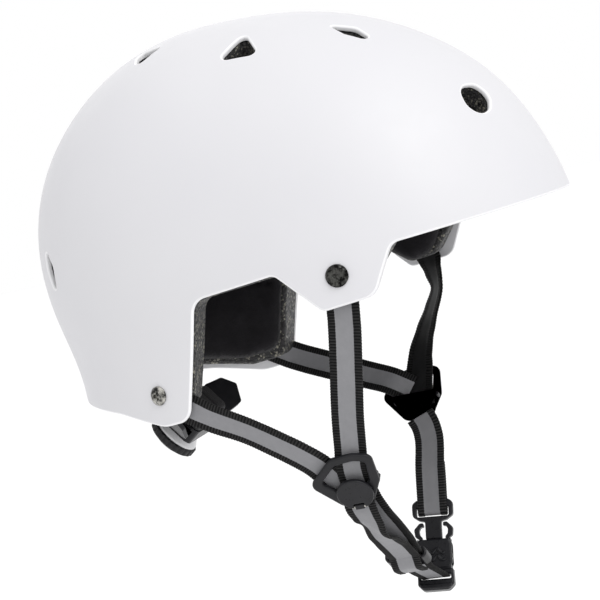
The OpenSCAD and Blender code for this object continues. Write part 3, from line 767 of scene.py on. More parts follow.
def pad_mesh(name, q, node, seams, spacing=1.3, thick=PT, base=PO, mirror=False):
    """A sewn foam pad on the liner: a crowned closed form with a welt round its edge and stitched channels."""
    pts, tri = triangulate([q], spacing)
    allq = np.vstack([q, pts])
    th, b = unplane(allq)
    m = len(q)
    mid = surf(th, b, base + thick * 0.4)
    if mirror:
        mid = mid * [-1, 1, 1]
    edge = mid[:m]
    d = np.zeros(len(mid))
    for i in range(0, len(mid), 1500):
        d[i : i + 1500] = np.sqrt(((mid[i : i + 1500, None] - edge[None]) ** 2).sum(-1).min(1))
    n = normals(mid)
    crown = np.sqrt(1 - (1 - np.clip(d / 6.0, 0, 1)) ** 2)
    back = np.sqrt(1 - (1 - np.clip(d / 3.0, 0, 1)) ** 2)
    sew = np.ones(len(mid))
    for f, w in seams:
        x = np.abs(f(mid)) / w
        sew = np.minimum(sew, 0.42 + 0.58 * np.sqrt(1 - (1 - np.clip(x, 0, 1)) ** 2))
    welt = 0.32 * np.exp(-((d - 2.2) / 0.8) ** 2)
    front = thick * 0.6 * crown * sew - welt
    inner = mid - n * front[:, None]
    outer = mid + n * (thick * 0.4 * back)[:, None]
    V = np.vstack([inner, outer[m:]])
    shift = len(mid)
    F = [list(t) for t in tri]
    G = [[(i if i < m else i - m + shift) for i in t] for t in tri]
    ref = np.vstack([-n, n[m:]])
    F = face_out(V, F, ref)
    G2 = []
    for g in G:
        a, b_, c = V[g[0]], V[g[1]], V[g[2]]
        nn = np.mean([n[i if i < m else i - shift + m] for i in g], axis=0)
        G2.append(g[::-1] if np.cross(b_ - a, c - a) @ nn < 0 else g)
    o = mesh(name, V, F + G2, mat=M_PAD)
    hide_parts(node)
    return o


def plane_seam(axis, value):
    return lambda p: p[:, axis] - value


front_pad = pad_mesh("pad_front", pad_outline(-74, 74, -15, 25), "front_pad", [(lambda p: p[:, 2] - 24, 2.6), (plane_seam(0, 38), 2.4), (plane_seam(0, -38), 2.4)])
right_pad = pad_mesh("pad_right_side", pad_outline(100, 151, -31, 25), "right_side_pad", [(lambda p: p[:, 2] + 6 - 0.25 * (p[:, 1] - 50), 2.4)])
left_pad = pad_mesh("pad_left_side", pad_outline(100, 151, -31, 25), "left_side_pad", [(lambda p: p[:, 2] + 6 - 0.25 * (p[:, 1] - 50), 2.4)], mirror=True)
rear_pad = pad_mesh("pad_rear", pad_outline(156, 204, -21, 25), "rear_pad", [(plane_seam(2, 12), 2.4), (plane_seam(2, -14), 2.4)])
a = np.linspace(0, 2 * math.pi, 120, endpoint=False)
q = np.stack([12.0 * np.sin(a), 12.0 * np.cos(a)], -1)
crown = pad_mesh("pad_crown", q, "crown_pad", [(lambda p: np.hypot(p[:, 0], p[:, 1]) - 12, 2.2)], spacing=1.0)


# ---------------------------------------------------------------- webbing
def spline(path, step):
    """Centripetal Catmull-Rom curve through the path's points, with the width directions carried along."""
    P = np.array([p for p, _ in path], float)
    W = unit(np.array([w for _, w in path], float))
    P = np.vstack([2 * P[0] - P[1], P, 2 * P[-1] - P[-2]])
    W = np.vstack([W[0], W, W[-1]])
    t = np.concatenate([[0], np.cumsum(np.linalg.norm(np.diff(P, axis=0), axis=1) ** 0.5)])
    out, wid = [], []
    for i in range(1, len(P) - 2):
        n = 24
        for k in range(n):
            x = t[i] + (t[i + 1] - t[i]) * k / n
            f = [(t[j + 1] - x) / (t[j + 1] - t[j]) for j in (i - 1, i, i + 1)]
            A = [f[j] * P[i - 1 + j] + (1 - f[j]) * P[i + j] for j in range(3)]
            g = [(t[j + 2] - x) / (t[j + 2] - t[j]) for j in (i - 1, i)]
            B = [g[j] * A[j] + (1 - g[j]) * A[j + 1] for j in range(2)]
            h = (t[i + 1] - x) / (t[i + 1] - t[i])
            out.append(h * B[0] + (1 - h) * B[1])
            s = k / n
            s = s * s * (3 - 2 * s)
            wid.append((1 - s) * W[i] + s * W[i + 1])
    out.append(P[-2]); wid.append(W[-2])
    out, wid = np.array(out), np.array(wid)
    k = even_loop(out, step, close=False)
    idx = np.arange(len(out))
    return (np.stack([np.interp(k, idx, out[:, i]) for i in range(3)], -1), np.stack([np.interp(k, idx, wid[:, i]) for i in range(3)], -1))


def webbing(name, path, width=16.0, t=1.35, mat=None, body="helmet", curl=0.0, phase=0.0, pitch=1.5):
    step = pitch / 4
    P, W = spline(path, step)
    T = unit(np.gradient(P, axis=0))
    W = unit(W - T * (W * T).sum(-1, keepdims=True))
    for _ in range(2):
        W[1:-1] = unit(W[:-2] + 2 * W[1:-1] + W[2:])
    Nn = np.cross(T, W)
    s = np.arange(len(P)) * step + phase
    us = np.concatenate([[-1, -0.985, -0.95], np.linspace(-0.88, -0.58, 5), [-0.52, -0.25, 0, 0.25, 0.52], np.linspace(0.58, 0.88, 5), [0.95, 0.985, 1]])
    rib = 0.5 + 0.5 * np.sin(2 * math.pi * s / pitch)
    rng = np.random.RandomState(7)
    wob = np.convolve(rng.randn(len(s) + 20), np.ones(21) / 21, "valid")[: len(s)] * 0.12
    V, UV = [], []
    m = len(us)
    for i in range(len(P)):
        hw = width / 2 + 0.16 * rib[i] + wob[i]
        band = np.clip((np.abs(us) - 0.53) / 0.05, 0, 1)
        end = np.sqrt(np.clip(1 - (np.clip(np.abs(us) - 0.93, 0, 1) / 0.07) ** 2, 0, 1))
        h = (t / 2 * (0.80 + band * (0.02 + 0.42 * rib[i]))) * end
        lift = curl * (us**2 - 0.4)
        x = us * hw
        top = P[i] + np.outer(x, W[i]) + np.outer(h + lift, Nn[i])
        low = P[i] + np.outer(x[1:-1], W[i]) + np.outer(lift[1:-1] - h[1:-1], Nn[i])
        V.append(np.vstack([top, low[::-1]]))
        u = us * 0.5 + 0.5
        UV.append(np.column_stack([np.concatenate([u, u[1:-1][::-1]]), np.full(2 * m - 2, s[i] / 10)]))
    k = 2 * m - 2
    F = []
    for i in range(len(P) - 1):
        for j in range(k):
            a_, b_ = i * k + j, i * k + (j + 1) % k
            F.append([a_, b_, b_ + k, a_ + k])
    n = len(P)
    for j in range(m - 2):
        o_ = 0
        a0, a1 = j, j + 1
        b0 = (k - j) % k
        b1 = k - j - 1
        if j == 0:
            F.append([0, k - 1, 1])
        else:
            F.append([j, k - j, k - j - 1, j + 1])
    F.append([m - 2, m, m - 1])
    base = (n - 1) * k
    E = []
    for j in range(m - 2):
        E.append([0, 1, k - 1] if j == 0 else [j, j + 1, k - j - 1, k - j])
    E.append([m - 2, m - 1, m])
    F += [[base + x for x in f] for f in E]
    o = mesh(name, np.vstack(V), F, uv=np.vstack(UV), mat=mat or M_WEB, body=body, angle=None)
    import_fix(o)
    return o


def import_fix(o):
    """Makes the faces of a closed mesh look outwards."""
    import bmesh
    bm = bmesh.new()
    bm.from_mesh(o.data)
    bmesh.ops.recalc_face_normals(bm, faces=bm.faces)
    bm.to_mesh(o.data)
    bm.free()


RF = [[[-100.9, -47.8, -2], [-0.13, 1, 0.02]], [[-100.6, -47.2, -12], [-0.1, 1, 0.06]], [[-99.2, -45.2, -26], [0, 1, 0.15]], [[-95, -39.5, -50], [0, 1, 0.18]], [[-88.5, -33.5, -72], [0, 1, 0.18]],
      [[-83.3, -29.8, -88], [0, 1, 0.15]], [[-79.4, -27.4, -98.6], [0, 1, 0]], [[-72.6, -26.4, -110.7], [0, 1, 0]], [[-70.2, -25.2, -115.5], [0, 1, 0]]]
RR = [[[-89.4, 53, -45.6], [-0.15, -0.52, 0.83]], [[-91.2, 48.6, -49], [-0.15, -0.5, 0.83]], [[-93.2, 41, -54], [-0.2, -0.5, 0.8]], [[-93, 33, -59.5], [-0.35, -0.5, 0.8]], [[-90.9, 17, -69.3], [-0.42, -0.5, 0.75]],
      [[-88.3, 3.5, -79.6], [-0.4, -0.6, 0.7]], [[-86, -5, -86.8], [-0.32, -0.75, 0.55]], [[-81.6, -11.3, -94], [-0.24, -0.87, 0.42]], [[-77, -15.4, -101.6], [-0.24, -0.87, 0.42]], [[-73.2, -18.8, -108.2], [-0.24, -0.87, 0.42]]]
LF = [[[100.9, -47.8, -2], [0.13, 1, 0.02]], [[100.2, -48.6, -10], [0.25, 1, 0]], [[98.6, -50.3, -16.5], [0.45, 0.89, 0]], [[97.2, -51, -23.5], [0.68, 0.73, 0]], [[95, -51.5, -33], [0.84, 0.545, 0]],
      [[92, -46.6, -43.9], [0.77, 0.636, 0]], [[88.5, -41, -55.1], [0.656, 0.755, 0.1]], [[84.5, -36, -67.5], [0.43, 0.9, 0.15]], [[79.8, -34.5, -76], [0.2, 1, 0.1]], [[76.6, -33, -83.2], [0, 1, 0]], [[69.6, -33, -94.7], [0, 1, 0]]]
LR = [[[89.4, 53, -45.6], [0.15, -0.52, 0.83]], [[91.2, 48.6, -49], [0.15, -0.5, 0.83]], [[92.5, 41, -54], [0.2, -0.5, 0.8]], [[91.5, 33, -58], [0.3, -0.4, 0.85]], [[87, 16, -65], [0.35, -0.35, 0.85]],
      [[81, -5, -73.5], [0.4, -0.45, 0.8]], [[74.8, -18, -78.2], [0.42, -0.56, 0.72]], [[72.6, -29, -85], [0.42, -0.56, 0.72]]]
rf = webbing("strap_right_front", RF)
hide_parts("right_front_strap")
rr = webbing("strap_right_rear", RR, phase=0.4)
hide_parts("right_rear_strap")
# painted shade: the far front strap uses the darkened webbing copy
lf = webbing("strap_left_front", LF, mat=M_WEB_PAINTED_SHADE, phase=0.2)
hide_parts("left_front_strap")
lr = webbing("strap_left_rear", LR, phase=0.7)
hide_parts("left_rear_strap")
# the two layers that run from the near divider to the keeper and the buckle
CHIN_FRONT = [[[-72.5, -25.3, -112], [0, 1, 0]], [[-71.2, -24.8, -119.5], [0.05, 1, 0.05]], [[-66, -25.4, -127.4], [0.15, 0.97, 0.2]], [[-58, -25.8, -134.8], [0.36, 0.8, 0.42]], [[-46, -26.6, -142.6], [0.25, 0.95, 0.05]],
              [[-32, -26.8, -150.2], [0.1, 1, -0.05]], [[-20, -26.6, -157.4], [0, 1, 0]], [[-8.8, -26.6, -164.2], [0, 1, 0]]]
CHIN_BACK = [[[-68.6, -26, -109], [0, 1, 0]], [[-65.5, -27.2, -117.5], [0, 1, 0]], [[-59.5, -28.6, -125.5], [0, 1, 0]], [[-46, -29.4, -136.5], [0, 1, -0.1]], [[-31, -29.2, -146.4], [0, 1, -0.05]], [[-16.5, -28, -156.2], [0, 1, 0]],
             [[-7, -27.2, -161.6], [0, 1, 0]], [[1.5, -27, -167.6], [0, 1, 0]], [[8.5, -27.5, -172.6], [0, 1, 0.05]], [[17.5, -30.2, -178.6], [-0.07, 1, 0.1]], [[24.3, -30.8, -182.2], [-0.07, 1, 0.1]]]
cb = webbing("strap_chin_back", CHIN_BACK, phase=0.3)
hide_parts("right_chin_strap")
cf = webbing("strap_chin_front", CHIN_FRONT, phase=0.8)
# loose end that passes over the keeper
TAB = [[[-22.5, -26.4, -152.2], [0, 1, -0.02]], [[-19, -26.4, -155.8], [0, 1, 0]], [[-15.6, -26.2, -161.2], [0, 1, 0.03]], [[-12.2, -25.8, -166.2], [0, 1, 0.03]], [[-7.6, -25.6, -168.6], [0, 1, 0]], [[-2, -26, -170.8], [0, 1, 0]]]
tab = webbing("strap_loose_end", TAB, phase=0.1)


# the webbing from the far divider to the buckle's bar: down, round the bar and back up
def euler_xyz(d):
    a, b, c = (math.radians(x) for x in d)
    X = np.array([[1, 0, 0], [0, math.cos(a), -math.sin(a)], [0, math.sin(a), math.cos(a)]])
    Y = np.array([[math.cos(b), 0, math.sin(b)], [0, 1, 0], [-math.sin(b), 0, math.cos(b)]])
    Z = np.array([[math.cos(c), -math.sin(c), 0], [math.sin(c), math.cos(c), 0], [0, 0, 1]])
    return Z @ Y @ X


class Frame:
    def __init__(self, origin, deg, mirror=False):
        self.o = np.array(origin, float)
        self.R = euler_xyz(deg) @ np.diag([-1 if mirror else 1, 1, 1])

    def __call__(self, p):
        return self.o + np.asarray(p, float) @ self.R.T

    def turn(self, v):
        return np.asarray(v, float) @ self.R.T


BUCKLE = Frame((34, -32, -164), (65, 6, -86))
DIAL = Frame((0, 81.5, -71), (-126, 0, 0))
RDIV = Frame((-78, -25.5, -103.5), (120, 0, -90))
LDIV = Frame((75, -31.5, -87.5), (120, 0, 90), True)
bx = BUCKLE.R[:, 0]
loop_pts = [[64.6, -32.4, -99.6], [62.6, -34.6, -104.4], [59, -35.9, -112]]
far_low = [[p, list(-bx)] for p in loop_pts]
for y, z in ((40, 2.35), (30, 2.5), (22, 2.5), (17.6, 2.4)):
    far_low.append([BUCKLE([0, y, z]).tolist(), list(-bx)])
for ang in (60, 20, -20, -60):
    far_low.append([BUCKLE([0, 16.3 - 1.9 * math.cos(math.radians(ang)) , 2.3 * math.sin(math.radians(ang))]).tolist(), list(-bx)])
for y, z in ((17.6, -2.4), (26, -2.4), (36, -2.2), (44, -1.4)):
    far_low.append([BUCKLE([0, y, z]).tolist(), list(-bx)])
ll = webbing("strap_left_lower", far_low, mat=M_WEB_DARK, body=None, phase=0.5)
(BUCKLE([0, 58, 0]) / 1000).tolist()
(BUCKLE([0, 24, 0]) / 1000).tolist()
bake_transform(ll)
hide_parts("left_chin_strap", "left_strap_end")


# ---------------------------------------------------------------- moulded plates with rounded edges
def even(poly, ds, closed=True):
    k = even_loop(poly, ds, closed)
    pp = np.vstack([poly, poly[:1]]) if closed else poly
    return np.stack([np.interp(k, np.arange(len(pp)), pp[:, i]) for i in range(poly.shape[1])], -1)


def prism(loops, z0, z1, r0, r1, place, ds=0.5, seg=3, top=None):
    """A plate of the outer loop and its holes, with rounded edges. place maps local points to the row frame; top bends the upper face."""
    V, N, F = [], [], []
    base, lids = 0, ([], [])
    for k, l in enumerate(loops):
        l = even(np.asarray(l, float), ds)
        t = unit(np.roll(l, -1, 0) - np.roll(l, 1, 0))
        c = np.stack([t[:, 1], -t[:, 0]], -1)
        into = np.mean(inside(l + 0.02 * c, l)) > 0.5
        if (k == 0) == into:
            c = -c
        m = len(l)
        prof_ = [(0 if not r0 else r0, z0, 0, -1)] if r0 else [(0, z0, 0, -1)]
        rows = []
        if r0:
            for i in range(seg + 1):
                f = math.pi / 2 * i / seg
                rows.append((r0 - r0 * math.sin(f), z0 + r0 - r0 * math.cos(f), math.sin(f), -math.cos(f)))
        else:
            rows += [(0, z0, 0, -1), (0, z0, 1, 0)]
        if r1:
            for i in range(seg + 1):
                f = math.pi / 2 * i / seg
                rows.append((r1 - r1 * math.cos(f), z1 - r1 + r1 * math.sin(f), math.cos(f), math.sin(f)))
        else:
            rows += [(0, z1, 1, 0), (0, z1, 0, 1)]
        ids = []
        for inset, z, nc, nz in rows:
            p = l - c * inset
            V.append(np.column_stack([p, np.full(m, z)]))
            N.append(np.column_stack([c * nc, np.full(m, nz)]))
            ids.append(base + np.arange(m))
            base += m
        for x, y in zip(ids[:-1], ids[1:]):
            for i in range(m):
                j = (i + 1) % m
                F.append([x[i], x[j], y[j], y[i]])
        lids[0].append(ids[0]); lids[1].append(ids[-1])
    V, N = np.vstack(V), np.vstack(N)
    for ids in lids:
        ring = [V[i][:, :2] for i in ids]
        _, tri = triangulate(ring, None)
        flat = np.concatenate(ids)
        F += flat[tri].tolist()
    if top is not None:
        V = top(V)
    keep = [f for f in F if np.linalg.norm(np.cross(V[f[1]] - V[f[0]], V[f[2]] - V[f[0]])) + np.linalg.norm(np.cross(V[f[2]] - V[f[0]], V[f[-1]] - V[f[0]])) > 1e-9]
    F = face_out(V, keep, N)
    return place(V), place.turn(N), F


def lathe(profile, place, n=96, wave=None):
    """A turned part about local z. profile is [radius, z] from the axis at the bottom to the axis at the top; wave(angle, radius, z) changes the radius."""
    P = np.array(profile, float)
    a = np.linspace(0, 2 * math.pi, n, endpoint=False)
    V, F = [], []
    rings = []
    base = 0
    for r, z in P:
        if r < 1e-6:
            V.append(np.array([[0, 0, z]])); rings.append([base]); base += 1
        else:
            rr = np.full(n, r) if wave is None else wave(a, r, z)
            V.append(np.column_stack([rr * np.cos(a), rr * np.sin(a), np.full(n, z)])); rings.append(list(range(base, base + n))); base += n
    for x, y in zip(rings[:-1], rings[1:]):
        if len(x) == 1 and len(y) == 1:
            continue
        for i in range(n):
            j = (i + 1) % n
            if len(x) == 1:
                F.append([x[0], y[i], y[j]])
            elif len(y) == 1:
                F.append([x[i], x[j], y[0]])
            else:
                F.append([x[i], x[j], y[j], y[i]])
    return place(np.vstack(V)), F


def soft_profile(pts, n=4):
    """Rounds the corners of a lathe profile: each point is [radius, z, corner radius]."""
    out = []
    for i, p in enumerate(pts):
        if i in (0, len(pts) - 1) or p[2] <= 0:
            out.append(np.array(p[:2], float))
        else:
            out += corner(pts[i - 1][:2], p[:2], pts[i + 1][:2], p[2], n)
    return out


def combine(parts):
    V, N, F, k = [], [], [], 0
    for v, n, f in parts:
        V.append(v); N.append(n)
        F += [[i + k for i in x] for x in f]
        k += len(v)
    return np.vstack(V), np.vstack(N), F


def moulded(name, parts, mat, body, slot, *nodes):
    V, N, F = combine(parts)
    o = mesh(name, V, F, N, mat=mat, body=body)
    if nodes:
        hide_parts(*nodes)
    return o


def turned(name, profile, place, mat, body, slot, *nodes, n=96, wave=None, angle=38):
    V, F = lathe(profile, place, n, wave)
    o = mesh(name, V, F, mat=mat, body=body)
    import_fix(o)
    o.data.set_sharp_from_angle(angle=math.radians(angle))
    if nodes:
        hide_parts(*nodes)
    return o


# strap dividers
DIV_OUT = rounded([[-21.4, 0.6, 4.5], [-6.5, 14.9, 5], [4.5, 15.9, 9], [14.2, 13.4, 4.5], [13.8, -3, 5], [6.8, -16, 6], [-8.4, -15.8, 6]])
DIV_WIN = rounded([[-15.2, 1.2, 2.5], [-5, 10.8, 2.5], [4.4, 11.7, 6], [10.2, 10.1, 2.5], [8.6, -2, 3], [3, -6.2, 2], [-8, -6.2, 2]])
PLATE = rounded([[-14.5, -2.5, 1.5], [12.6, -2.5, 1.5], [11.6, -6, 3], [6, -15.4, 6], [-8, -14.8, 6]])
LUG = np.array([[-2.3, -16.2], [2.3, -16.2], [2.3, -13.4], [-2.3, -13.4]])
for side, place, body in (("right", RDIV, "latch_right"), ("left", LDIV, "latch_left")):
    f = [prism([DIV_OUT, DIV_WIN], 0, 2.4, 0.6, 0.95, place), prism([LUG], 1.0, 5.4, 0, 0.5, place, 0.4)]
    moulded("divider_frame_" + side, f, M_BLACK, "helmet", "black_plastic", side + "_divider_frame")
    moulded("divider_plate_" + side, [prism([PLATE], -6.6, -4.6, 0.6, 0.5, place)], M_BLACK, "helmet", "black_plastic", side + "_divider_plate")
    a = np.linspace(0, 2 * math.pi, 120, endpoint=False)
    disc = np.column_stack([9.2 * np.cos(a), -7.2 + 9.2 * np.sin(a)])
    cut = []
    for x, y in disc:
        y = max(y, -15.85)
        cut.append((x, y))
    ring = [p for p in cut if not (abs(p[0]) < 2.6 and p[1] < -12)]
    i0 = max(range(len(ring)), key=lambda i: np.hypot(ring[i][0] - ring[i - 1][0], ring[i][1] - ring[i - 1][1]))
    ring = ring[i0:] + ring[:i0]
    if ring[-1][0] > ring[0][0]:
        ring += [(2.6, -15.8), (2.6, -12.7), (-2.6, -12.7), (-2.6, -15.8)]
    else:
        ring += [(-2.6, -15.8), (-2.6, -12.7), (2.6, -12.7), (2.6, -15.8)]
    ring = np.array(ring)

    def crown_top(v):
        v = v.copy()
        r = np.hypot(v[:, 0], v[:, 1] + 7.2)
        up = np.clip((v[:, 2] - 3.2) / 1.2, 0, 1)
        v[:, 2] += up * 0.55 * np.clip(1 - (r / 9.2) ** 2, 0, 1)
        return v

    parts = [prism([ring], 2.9, 4.95, 0.35, 0.75, place, 0.45, 4, crown_top)]
    moulded("divider_cam_cover_" + side, parts, M_BLACK2, body, "black_plastic", side + "_divider_latch")

# keeper: a flat oval ring round the webbing
KEEP = Frame((-8, -26, -162), (0, 33.7, 0))


class Tilt:
    """Places a plate whose local x, y and z are given directions."""

    def __init__(self, origin, x, y):
        x, y = unit(np.array(x, float)), np.array(y, float)
        y = unit(y - x * (x @ y))
        self.o, self.R = np.array(origin, float), np.stack([x, y, np.cross(x, y)], 1)

    def __call__(self, p):
        return self.o + np.asarray(p, float) @ self.R.T

    def turn(self, v):
        return np.asarray(v, float) @ self.R.T


kx = KEEP.R[:, 0]
kz = KEEP.R[:, 2]
outer = rounded([[-11.4, -3.3, 3.1], [11.4, -3.3, 3.1], [11.4, 3.3, 3.1], [-11.4, 3.3, 3.1]])
hole = rounded([[-9.3, -1.9, 1.5], [9.3, -1.9, 1.5], [9.3, 1.6, 1.5], [-9.3, 1.6, 1.5]])
mid_place = Tilt(KEEP([0, -0.3, 0]), (0, 1, 0), kz)
moulded("keeper_ring", [prism([outer, hole], -5.6, 5.6, 1.0, 1.0, mid_place, 0.45)], M_BLACK2, "helmet", "black_plastic", "strap_keeper")

# buckle
SOCK = rounded([[-8.6, 0, 1.2], [-9.6, -3, 2], [-9.6, -13.5, 1], [-8.8, -15, 1], [-9.8, -17, 1], [-10, -25, 2], [-7, -28, 3], [7, -28, 3], [10, -25, 2], [9.8, -17, 1], [8.8, -15, 1], [9.6, -13.5, 1], [9.6, -3, 2], [8.6, 0, 1.2]])
SLOT = rounded([[-8.3, -21.9, 0.7], [8.3, -21.9, 0.7], [8.3, -19.7, 0.7], [-8.3, -19.7, 0.7]])
SOCK_IN = rounded([[-8.1, 0.2, 0.3], [-8.1, -1.6, 0.3], [-9.4, -1.9, 0.2], [-9.4, -12.9, 0.5], [-8.1, -14.2, 1], [8.1, -14.2, 1], [9.4, -12.9, 0.5], [9.4, -1.9, 0.2], [8.1, -1.6, 0.3], [8.1, 0.2, 0.3]])
HEAD = rounded([[-8.6, 0, 1.2], [-9.6, -3, 2], [-9.6, -13.5, 1], [-8.8, -15, 1], [-9, -16.6, 0.6], [9, -16.6, 0.6], [8.8, -15, 1], [9.6, -13.5, 1], [9.6, -3, 2], [8.6, 0, 1.2]])
parts = [
    prism([HEAD], 2.2, 4.0, 0.3, 1.1, BUCKLE),
    prism([HEAD], -4.0, -2.2, 1.1, 0.3, BUCKLE),
    prism([rounded([[-8.9, -14.2, 0.4], [8.9, -14.2, 0.4], [8.9, -17.0, 0.4], [-8.9, -17.0, 0.4]])], -3.6, 3.6, 0.4, 0.4, BUCKLE),
    prism([rounded([[-9.8, -16.4, 0.8], [-10, -25, 2], [-7, -28, 3], [7, -28, 3], [10, -25, 2], [9.8, -16.4, 0.8]]), SLOT], -3.6, 3.6, 1.3, 1.3, BUCKLE),
]
for sx in (-1, 1):
    parts.append(prism([rounded([[sx * 8.3, -0.4, 0.3], [sx * 9.2, -1.6, 0.3], [sx * 9.2, 0.2, 0.2], [sx * 8.5, 0.2, 0.2]])], -2.6, 2.6, 0.1, 0.1, BUCKLE, 0.3))
parts.append(prism([rounded([[-8.6, -26.6, 1.2], [-6.6, -27.4, 1.5], [6.6, -27.4, 1.5], [8.6, -26.6, 1.2], [8.9, -24.4, 0.6], [-8.9, -24.4, 0.6]])], 3.2, 4.2, 0.1, 0.8, BUCKLE))


def tube(path, r, place, n=10, flat=1.0):
    P = np.array(path, float)
    T = unit(np.gradient(P, axis=0))
    up = np.array([0, 0, 1.0])
    S = unit(np.cross(T, up))
    U = np.cross(S, T)
    a = np.linspace(0, 2 * math.pi, n, endpoint=False)
    V, N, F = [], [], []
    for i in range(len(P)):
        taper = math.sqrt(max(1 - (abs(2 * i / (len(P) - 1) - 1)) ** 8, 0.02))
        V.append(P[i] + taper * r * (np.outer(np.cos(a), S[i]) + flat * np.outer(np.sin(a), U[i])))
        N.append(np.outer(np.cos(a), S[i]) + np.outer(np.sin(a), U[i]))
    for i in range(len(P) - 1):
        for j in range(n):
            F.append([i * n + j, i * n + (j + 1) % n, (i + 1) * n + (j + 1) % n, (i + 1) * n + j])
    F += [list(range(n)), [(len(P) - 1) * n + j for j in range(n)][::-1]]
    V, N = np.vstack(V), np.vstack(N)
    return place(V), place.turn(N), face_out(V, F, N)


xs = np.linspace(-6.2, 6.2, 40)
for y0 in (-7.0, -10.8):
    parts.append(tube(np.column_stack([xs, y0 + 1.2 * np.sin(xs / 12.4 * 4 * math.pi), np.full(40, 4.0)]), 0.95, BUCKLE))
moulded("buckle_socket_body", parts, M_BLACK2, "helmet", "black_plastic", "buckle_socket")

TONG = rounded([[-4.5, 0.3, 0.6], [-4.5, 10.3, 1.0], [-7.5, 10.9, 1.2], [-11.2, 13.4, 2.5], [-11.4, 20.6, 3.0], [-8.6, 22.6, 2.0], [8.6, 22.6, 2.0], [11.4, 20.6, 3.0], [11.2, 13.4, 2.5], [7.5, 10.9, 1.2], [4.5, 10.3, 1.0], [4.5, 0.3, 0.6]])
TSLOT = rounded([[-8.8, 13, 0.9], [8.8, 13, 0.9], [8.8, 18.4, 0.9], [-8.8, 18.4, 0.9]])


def thin_bar(v):
    v = v.copy()
    k = np.clip((v[:, 1] - 17.6) / 0.8, 0, 1)
    v[:, 2] *= 1 - 0.36 * k
    return v


parts = [prism([TONG, TSLOT], -1.9, 1.9, 0.7, 0.7, BUCKLE, top=thin_bar), prism([rounded([[-1.3, 1, 0.3], [1.3, 1, 0.3], [1.3, -12, 0.6], [-1.3, -12, 0.6]])], -1.5, 1.5, 0.3, 0.3, BUCKLE)]
moulded("buckle_tongue_frame", parts, M_BLACK2, "tongue", "black_plastic", "buckle_tongue")
PRONG = [[5.4, 9.6, 0.8], [7.6, 9.6, 1.4], [10.8, 6.2, 2], [10.3, 2.0, 1.5], [7.75, 0.3, 0.8], [7.75, -2.4, 1], [8.4, -5, 1], [9.2, -7.5, 1], [9.9, -10, 0.6], [9.2, -11.6, 0.7], [6.9, -11.9, 0.6], [6.3, -4, 1], [6.3, 1.6, 0.8], [7.6, 3.0, 0.8], [7.9, 5.4, 1.0], [7.0, 7.3, 0.8], [5.3, 7.6, 0.3]]
for nm, sx in (("front", 1), ("rear", -1)):
    l = rounded([[sx * p[0], p[1], p[2]] for p in PRONG])
    moulded("buckle_prong_arm_" + nm, [prism([l], -1.8, 1.8, 0.5, 0.5, BUCKLE, 0.35)], M_BLACK2, "prong_" + nm, "black_plastic", "buckle_prong_" + nm)


# ---------------------------------------------------------------- anchor screws
def screw_head(d, h, place):
    """Domed head with a three-lobed recess."""
    a = np.linspace(0, 2 * math.pi, 90, endpoint=False)
    lobe = 1.65 + 0.55 * np.cos(3 * a)
    rows = soft_profile([[d / 2 - 0.2, 0.02, 0], [d / 2, 0.25, 0.15], [d / 2, 0.7, 0.25], [d / 2 - 1.1, h - 0.35, 0.8], [3.0, h, 0.4], [2.9, h, 0]], 4)
    V, ids, F, base = [], [], [], 0

    def add(x, y, z):
        nonlocal base
        V.append(np.column_stack([x, y, z * np.ones_like(x)])); ids.append(base + np.arange(len(x))); base += len(x)

    for r, z in rows:
        add(r * np.cos(a), r * np.sin(a), z)
    for k, z in ((1.12, h - 0.02), (1.0, h - 0.16), (0.96, h - 1.1)):
        add(k * lobe * np.cos(a), k * lobe * np.sin(a), z)
    V.append(np.array([[0, 0, h - 1.15]]))
    centre = base
    for x, y in zip(ids[:-1], ids[1:]):
        for i in range(90):
            j = (i + 1) % 90
            F.append([x[i], x[j], y[j], y[i]])
    for i in range(90):
        F.append([ids[-1][i], ids[-1][(i + 1) % 90], centre])
    F.append(list(ids[0])[::-1])
    return place(np.vstack(V)), F


class Spot:
    def __init__(self, th, b, mirror, spin=0.0):
        self.p, self.R = local_frame(th, b)
        c, s = math.cos(spin), math.sin(spin)
        self.R = self.R @ np.array([[c, -s, 0], [s, c, 0], [0, 0, 1]])
        self.m = np.array([-1, 1, 1]) if mirror else np.array([1, 1, 1])

    def __call__(self, v):
        return (self.p + np.asarray(v, float) @ self.R.T) * self.m


for nm, (th, b), d, h, mat, slot in (("front", (65.3, -1.9), 11.0, 2.2, M_SCREW, "screw_black"), ("rear", (121.5, -22.0), 9.6, 2.0, M_STEEL, "screw_steel")):
    V, F, k = [], [], 0
    for mir in (False, True):
        place = Spot(th, b, mir, 0.4)
        v, f = screw_head(d, h, place)
        V.append(v); F += [[i + k for i in x] for x in f]; k += len(v)
        v, f = lathe([[0, -8.2], [2, -8.2], [2, 0.1], [0, 0.1]], place, 32)
        V.append(v); F += [[i + k for i in x] for x in f]; k += len(v)
    o = mesh("anchor_screws_" + nm, np.vstack(V), F, mat=mat)
    import_fix(o)
    o.data.set_sharp_from_angle(angle=math.radians(35))
    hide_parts(nm + "_anchor_screws")

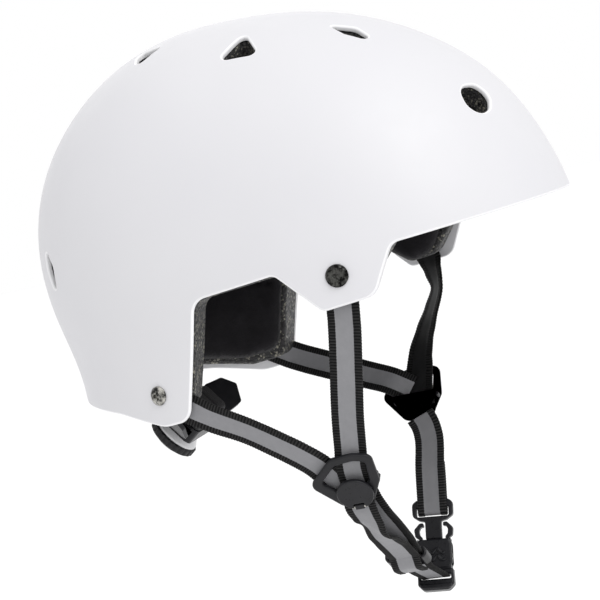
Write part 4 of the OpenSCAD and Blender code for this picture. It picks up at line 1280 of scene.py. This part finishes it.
# ---------------------------------------------------------------- nape dial
turned("dial_ring_disc", soft_profile([[0, 0.5, 0], [9.4, 0.5, 1.0], [12.8, 5.7, 0.6], [12.8, 6.9, 0.2], [0, 6.9, 0]]), DIAL, M_GREY, "dial", "dial_grey", "dial_ring")
turned("dial_grip", soft_profile([[12.65, 6.95, 0], [13.4, 6.95, 0.3], [14.0, 7.5, 0.4], [14.0, 10.7, 0.6], [13.2, 11.3, 0.3], [12.65, 11.3, 0], [12.65, 6.95, 0]]), DIAL, M_RUBBER, "dial", "dial_rubber", "dial_grip_ring", n=384, wave=lambda a, r, z: r - (0.6 * (0.5 - 0.5 * np.cos(24 * a)) ** 3 if r > 13.1 else 0 * a), angle=60)
turned("dial_knob_cap", soft_profile([[0, 6.9, 0], [12.5, 6.9, 0.2], [12.5, 11.2, 0.5], [9, 13.2, 1.2], [4.4, 13.3, 0.5], [3.7, 12.4, 0.2], [3.6, 11.4, 0], [0, 11.4, 0]]), DIAL, M_BLACK2, "dial", "black_plastic", "dial_knob")

# remaining CAD nodes keep their shape and take a material with real surface detail
LOOKS = {"front_anchor_nuts": M_STEEL, "rear_anchor_nuts": M_STEEL, "anchor_washers": M_STEEL, "divider_posts": M_BLACK, "latch_pins": M_STEEL, "dial_housing": M_BLACK, "housing_cover": M_BLACK, "nape_bracket": M_BLACK,
         "left_band": M_BLACK, "right_band": M_BLACK, "dial_pinion": M_NYLON, "dial_screw": M_STEEL, "detent_spring": M_STEEL, "nape_pad": M_PAD}
for n_, m_ in LOOKS.items():
    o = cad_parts[n_]
    if not o.data.materials:
        o.data.materials.append(m_)
    for i in range(len(o.material_slots)):
        o.material_slots[i].material = m_

# nape pad: a puffed cushion
lo, hi = [np.array(v) * 1000 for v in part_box("nape_pad")]
loop = rounded([[-24, -9, 4], [24, -9, 4], [24, 9, 4], [-24, 9, 4]])
e = even(loop, 0.9)
pts, tri = triangulate([e], 1.3)
allq = np.vstack([e, pts])
m = len(e)
d = np.array([np.sqrt(((x - e) ** 2).sum(-1).min()) for x in allq])
cr = np.sqrt(1 - (1 - np.clip(d / 4.0, 0, 1)) ** 2) * np.where(np.abs(allq[:, 0]) < 60, 1, 1)
for x0 in (-8, 8):
    cr = np.minimum(cr, 0.5 + 0.5 * np.sqrt(1 - (1 - np.clip(np.abs(allq[:, 0] - x0) / 2.2, 0, 1)) ** 2))
low = np.column_stack([allq, -15.6 - 2.1 * cr])
upp = np.column_stack([allq, -15.6 + 2.4 * np.sqrt(1 - (1 - np.clip(d / 2.0, 0, 1)) ** 2)])
V = np.vstack([low, upp[m:]])
F = [list(t) for t in tri] + [[(i if i < m else i - m + len(allq)) for i in t][::-1] for t in tri]
o = mesh("pad_nape", DIAL(V), F, mat=M_PAD)
import_fix(o)
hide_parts("nape_pad")

# ---------------------------------------------------------------- floor
def floor():
    k = Mat("floor_pale")
    o = k.obj()
    k.colour(k.mix(k.rng(k.noise(o, 3, 3), 0.3, 0.7, 0, 1), (0.93, 0.93, 0.935), (0.95, 0.95, 0.95)))
    k.rough(k.rng(k.noise(o, 40, 3), 0.3, 0.7, 0.6, 0.75))
    f = mesh("floor", [[-30, -30, 0], [30, -30, 0], [30, 30, 0], [-30, 30, 0]], [[0, 1, 2, 3]], mat=k.m, body=None, smooth=False, scale=1.0)
    f.location = (0, 0, -0.75)


floor()
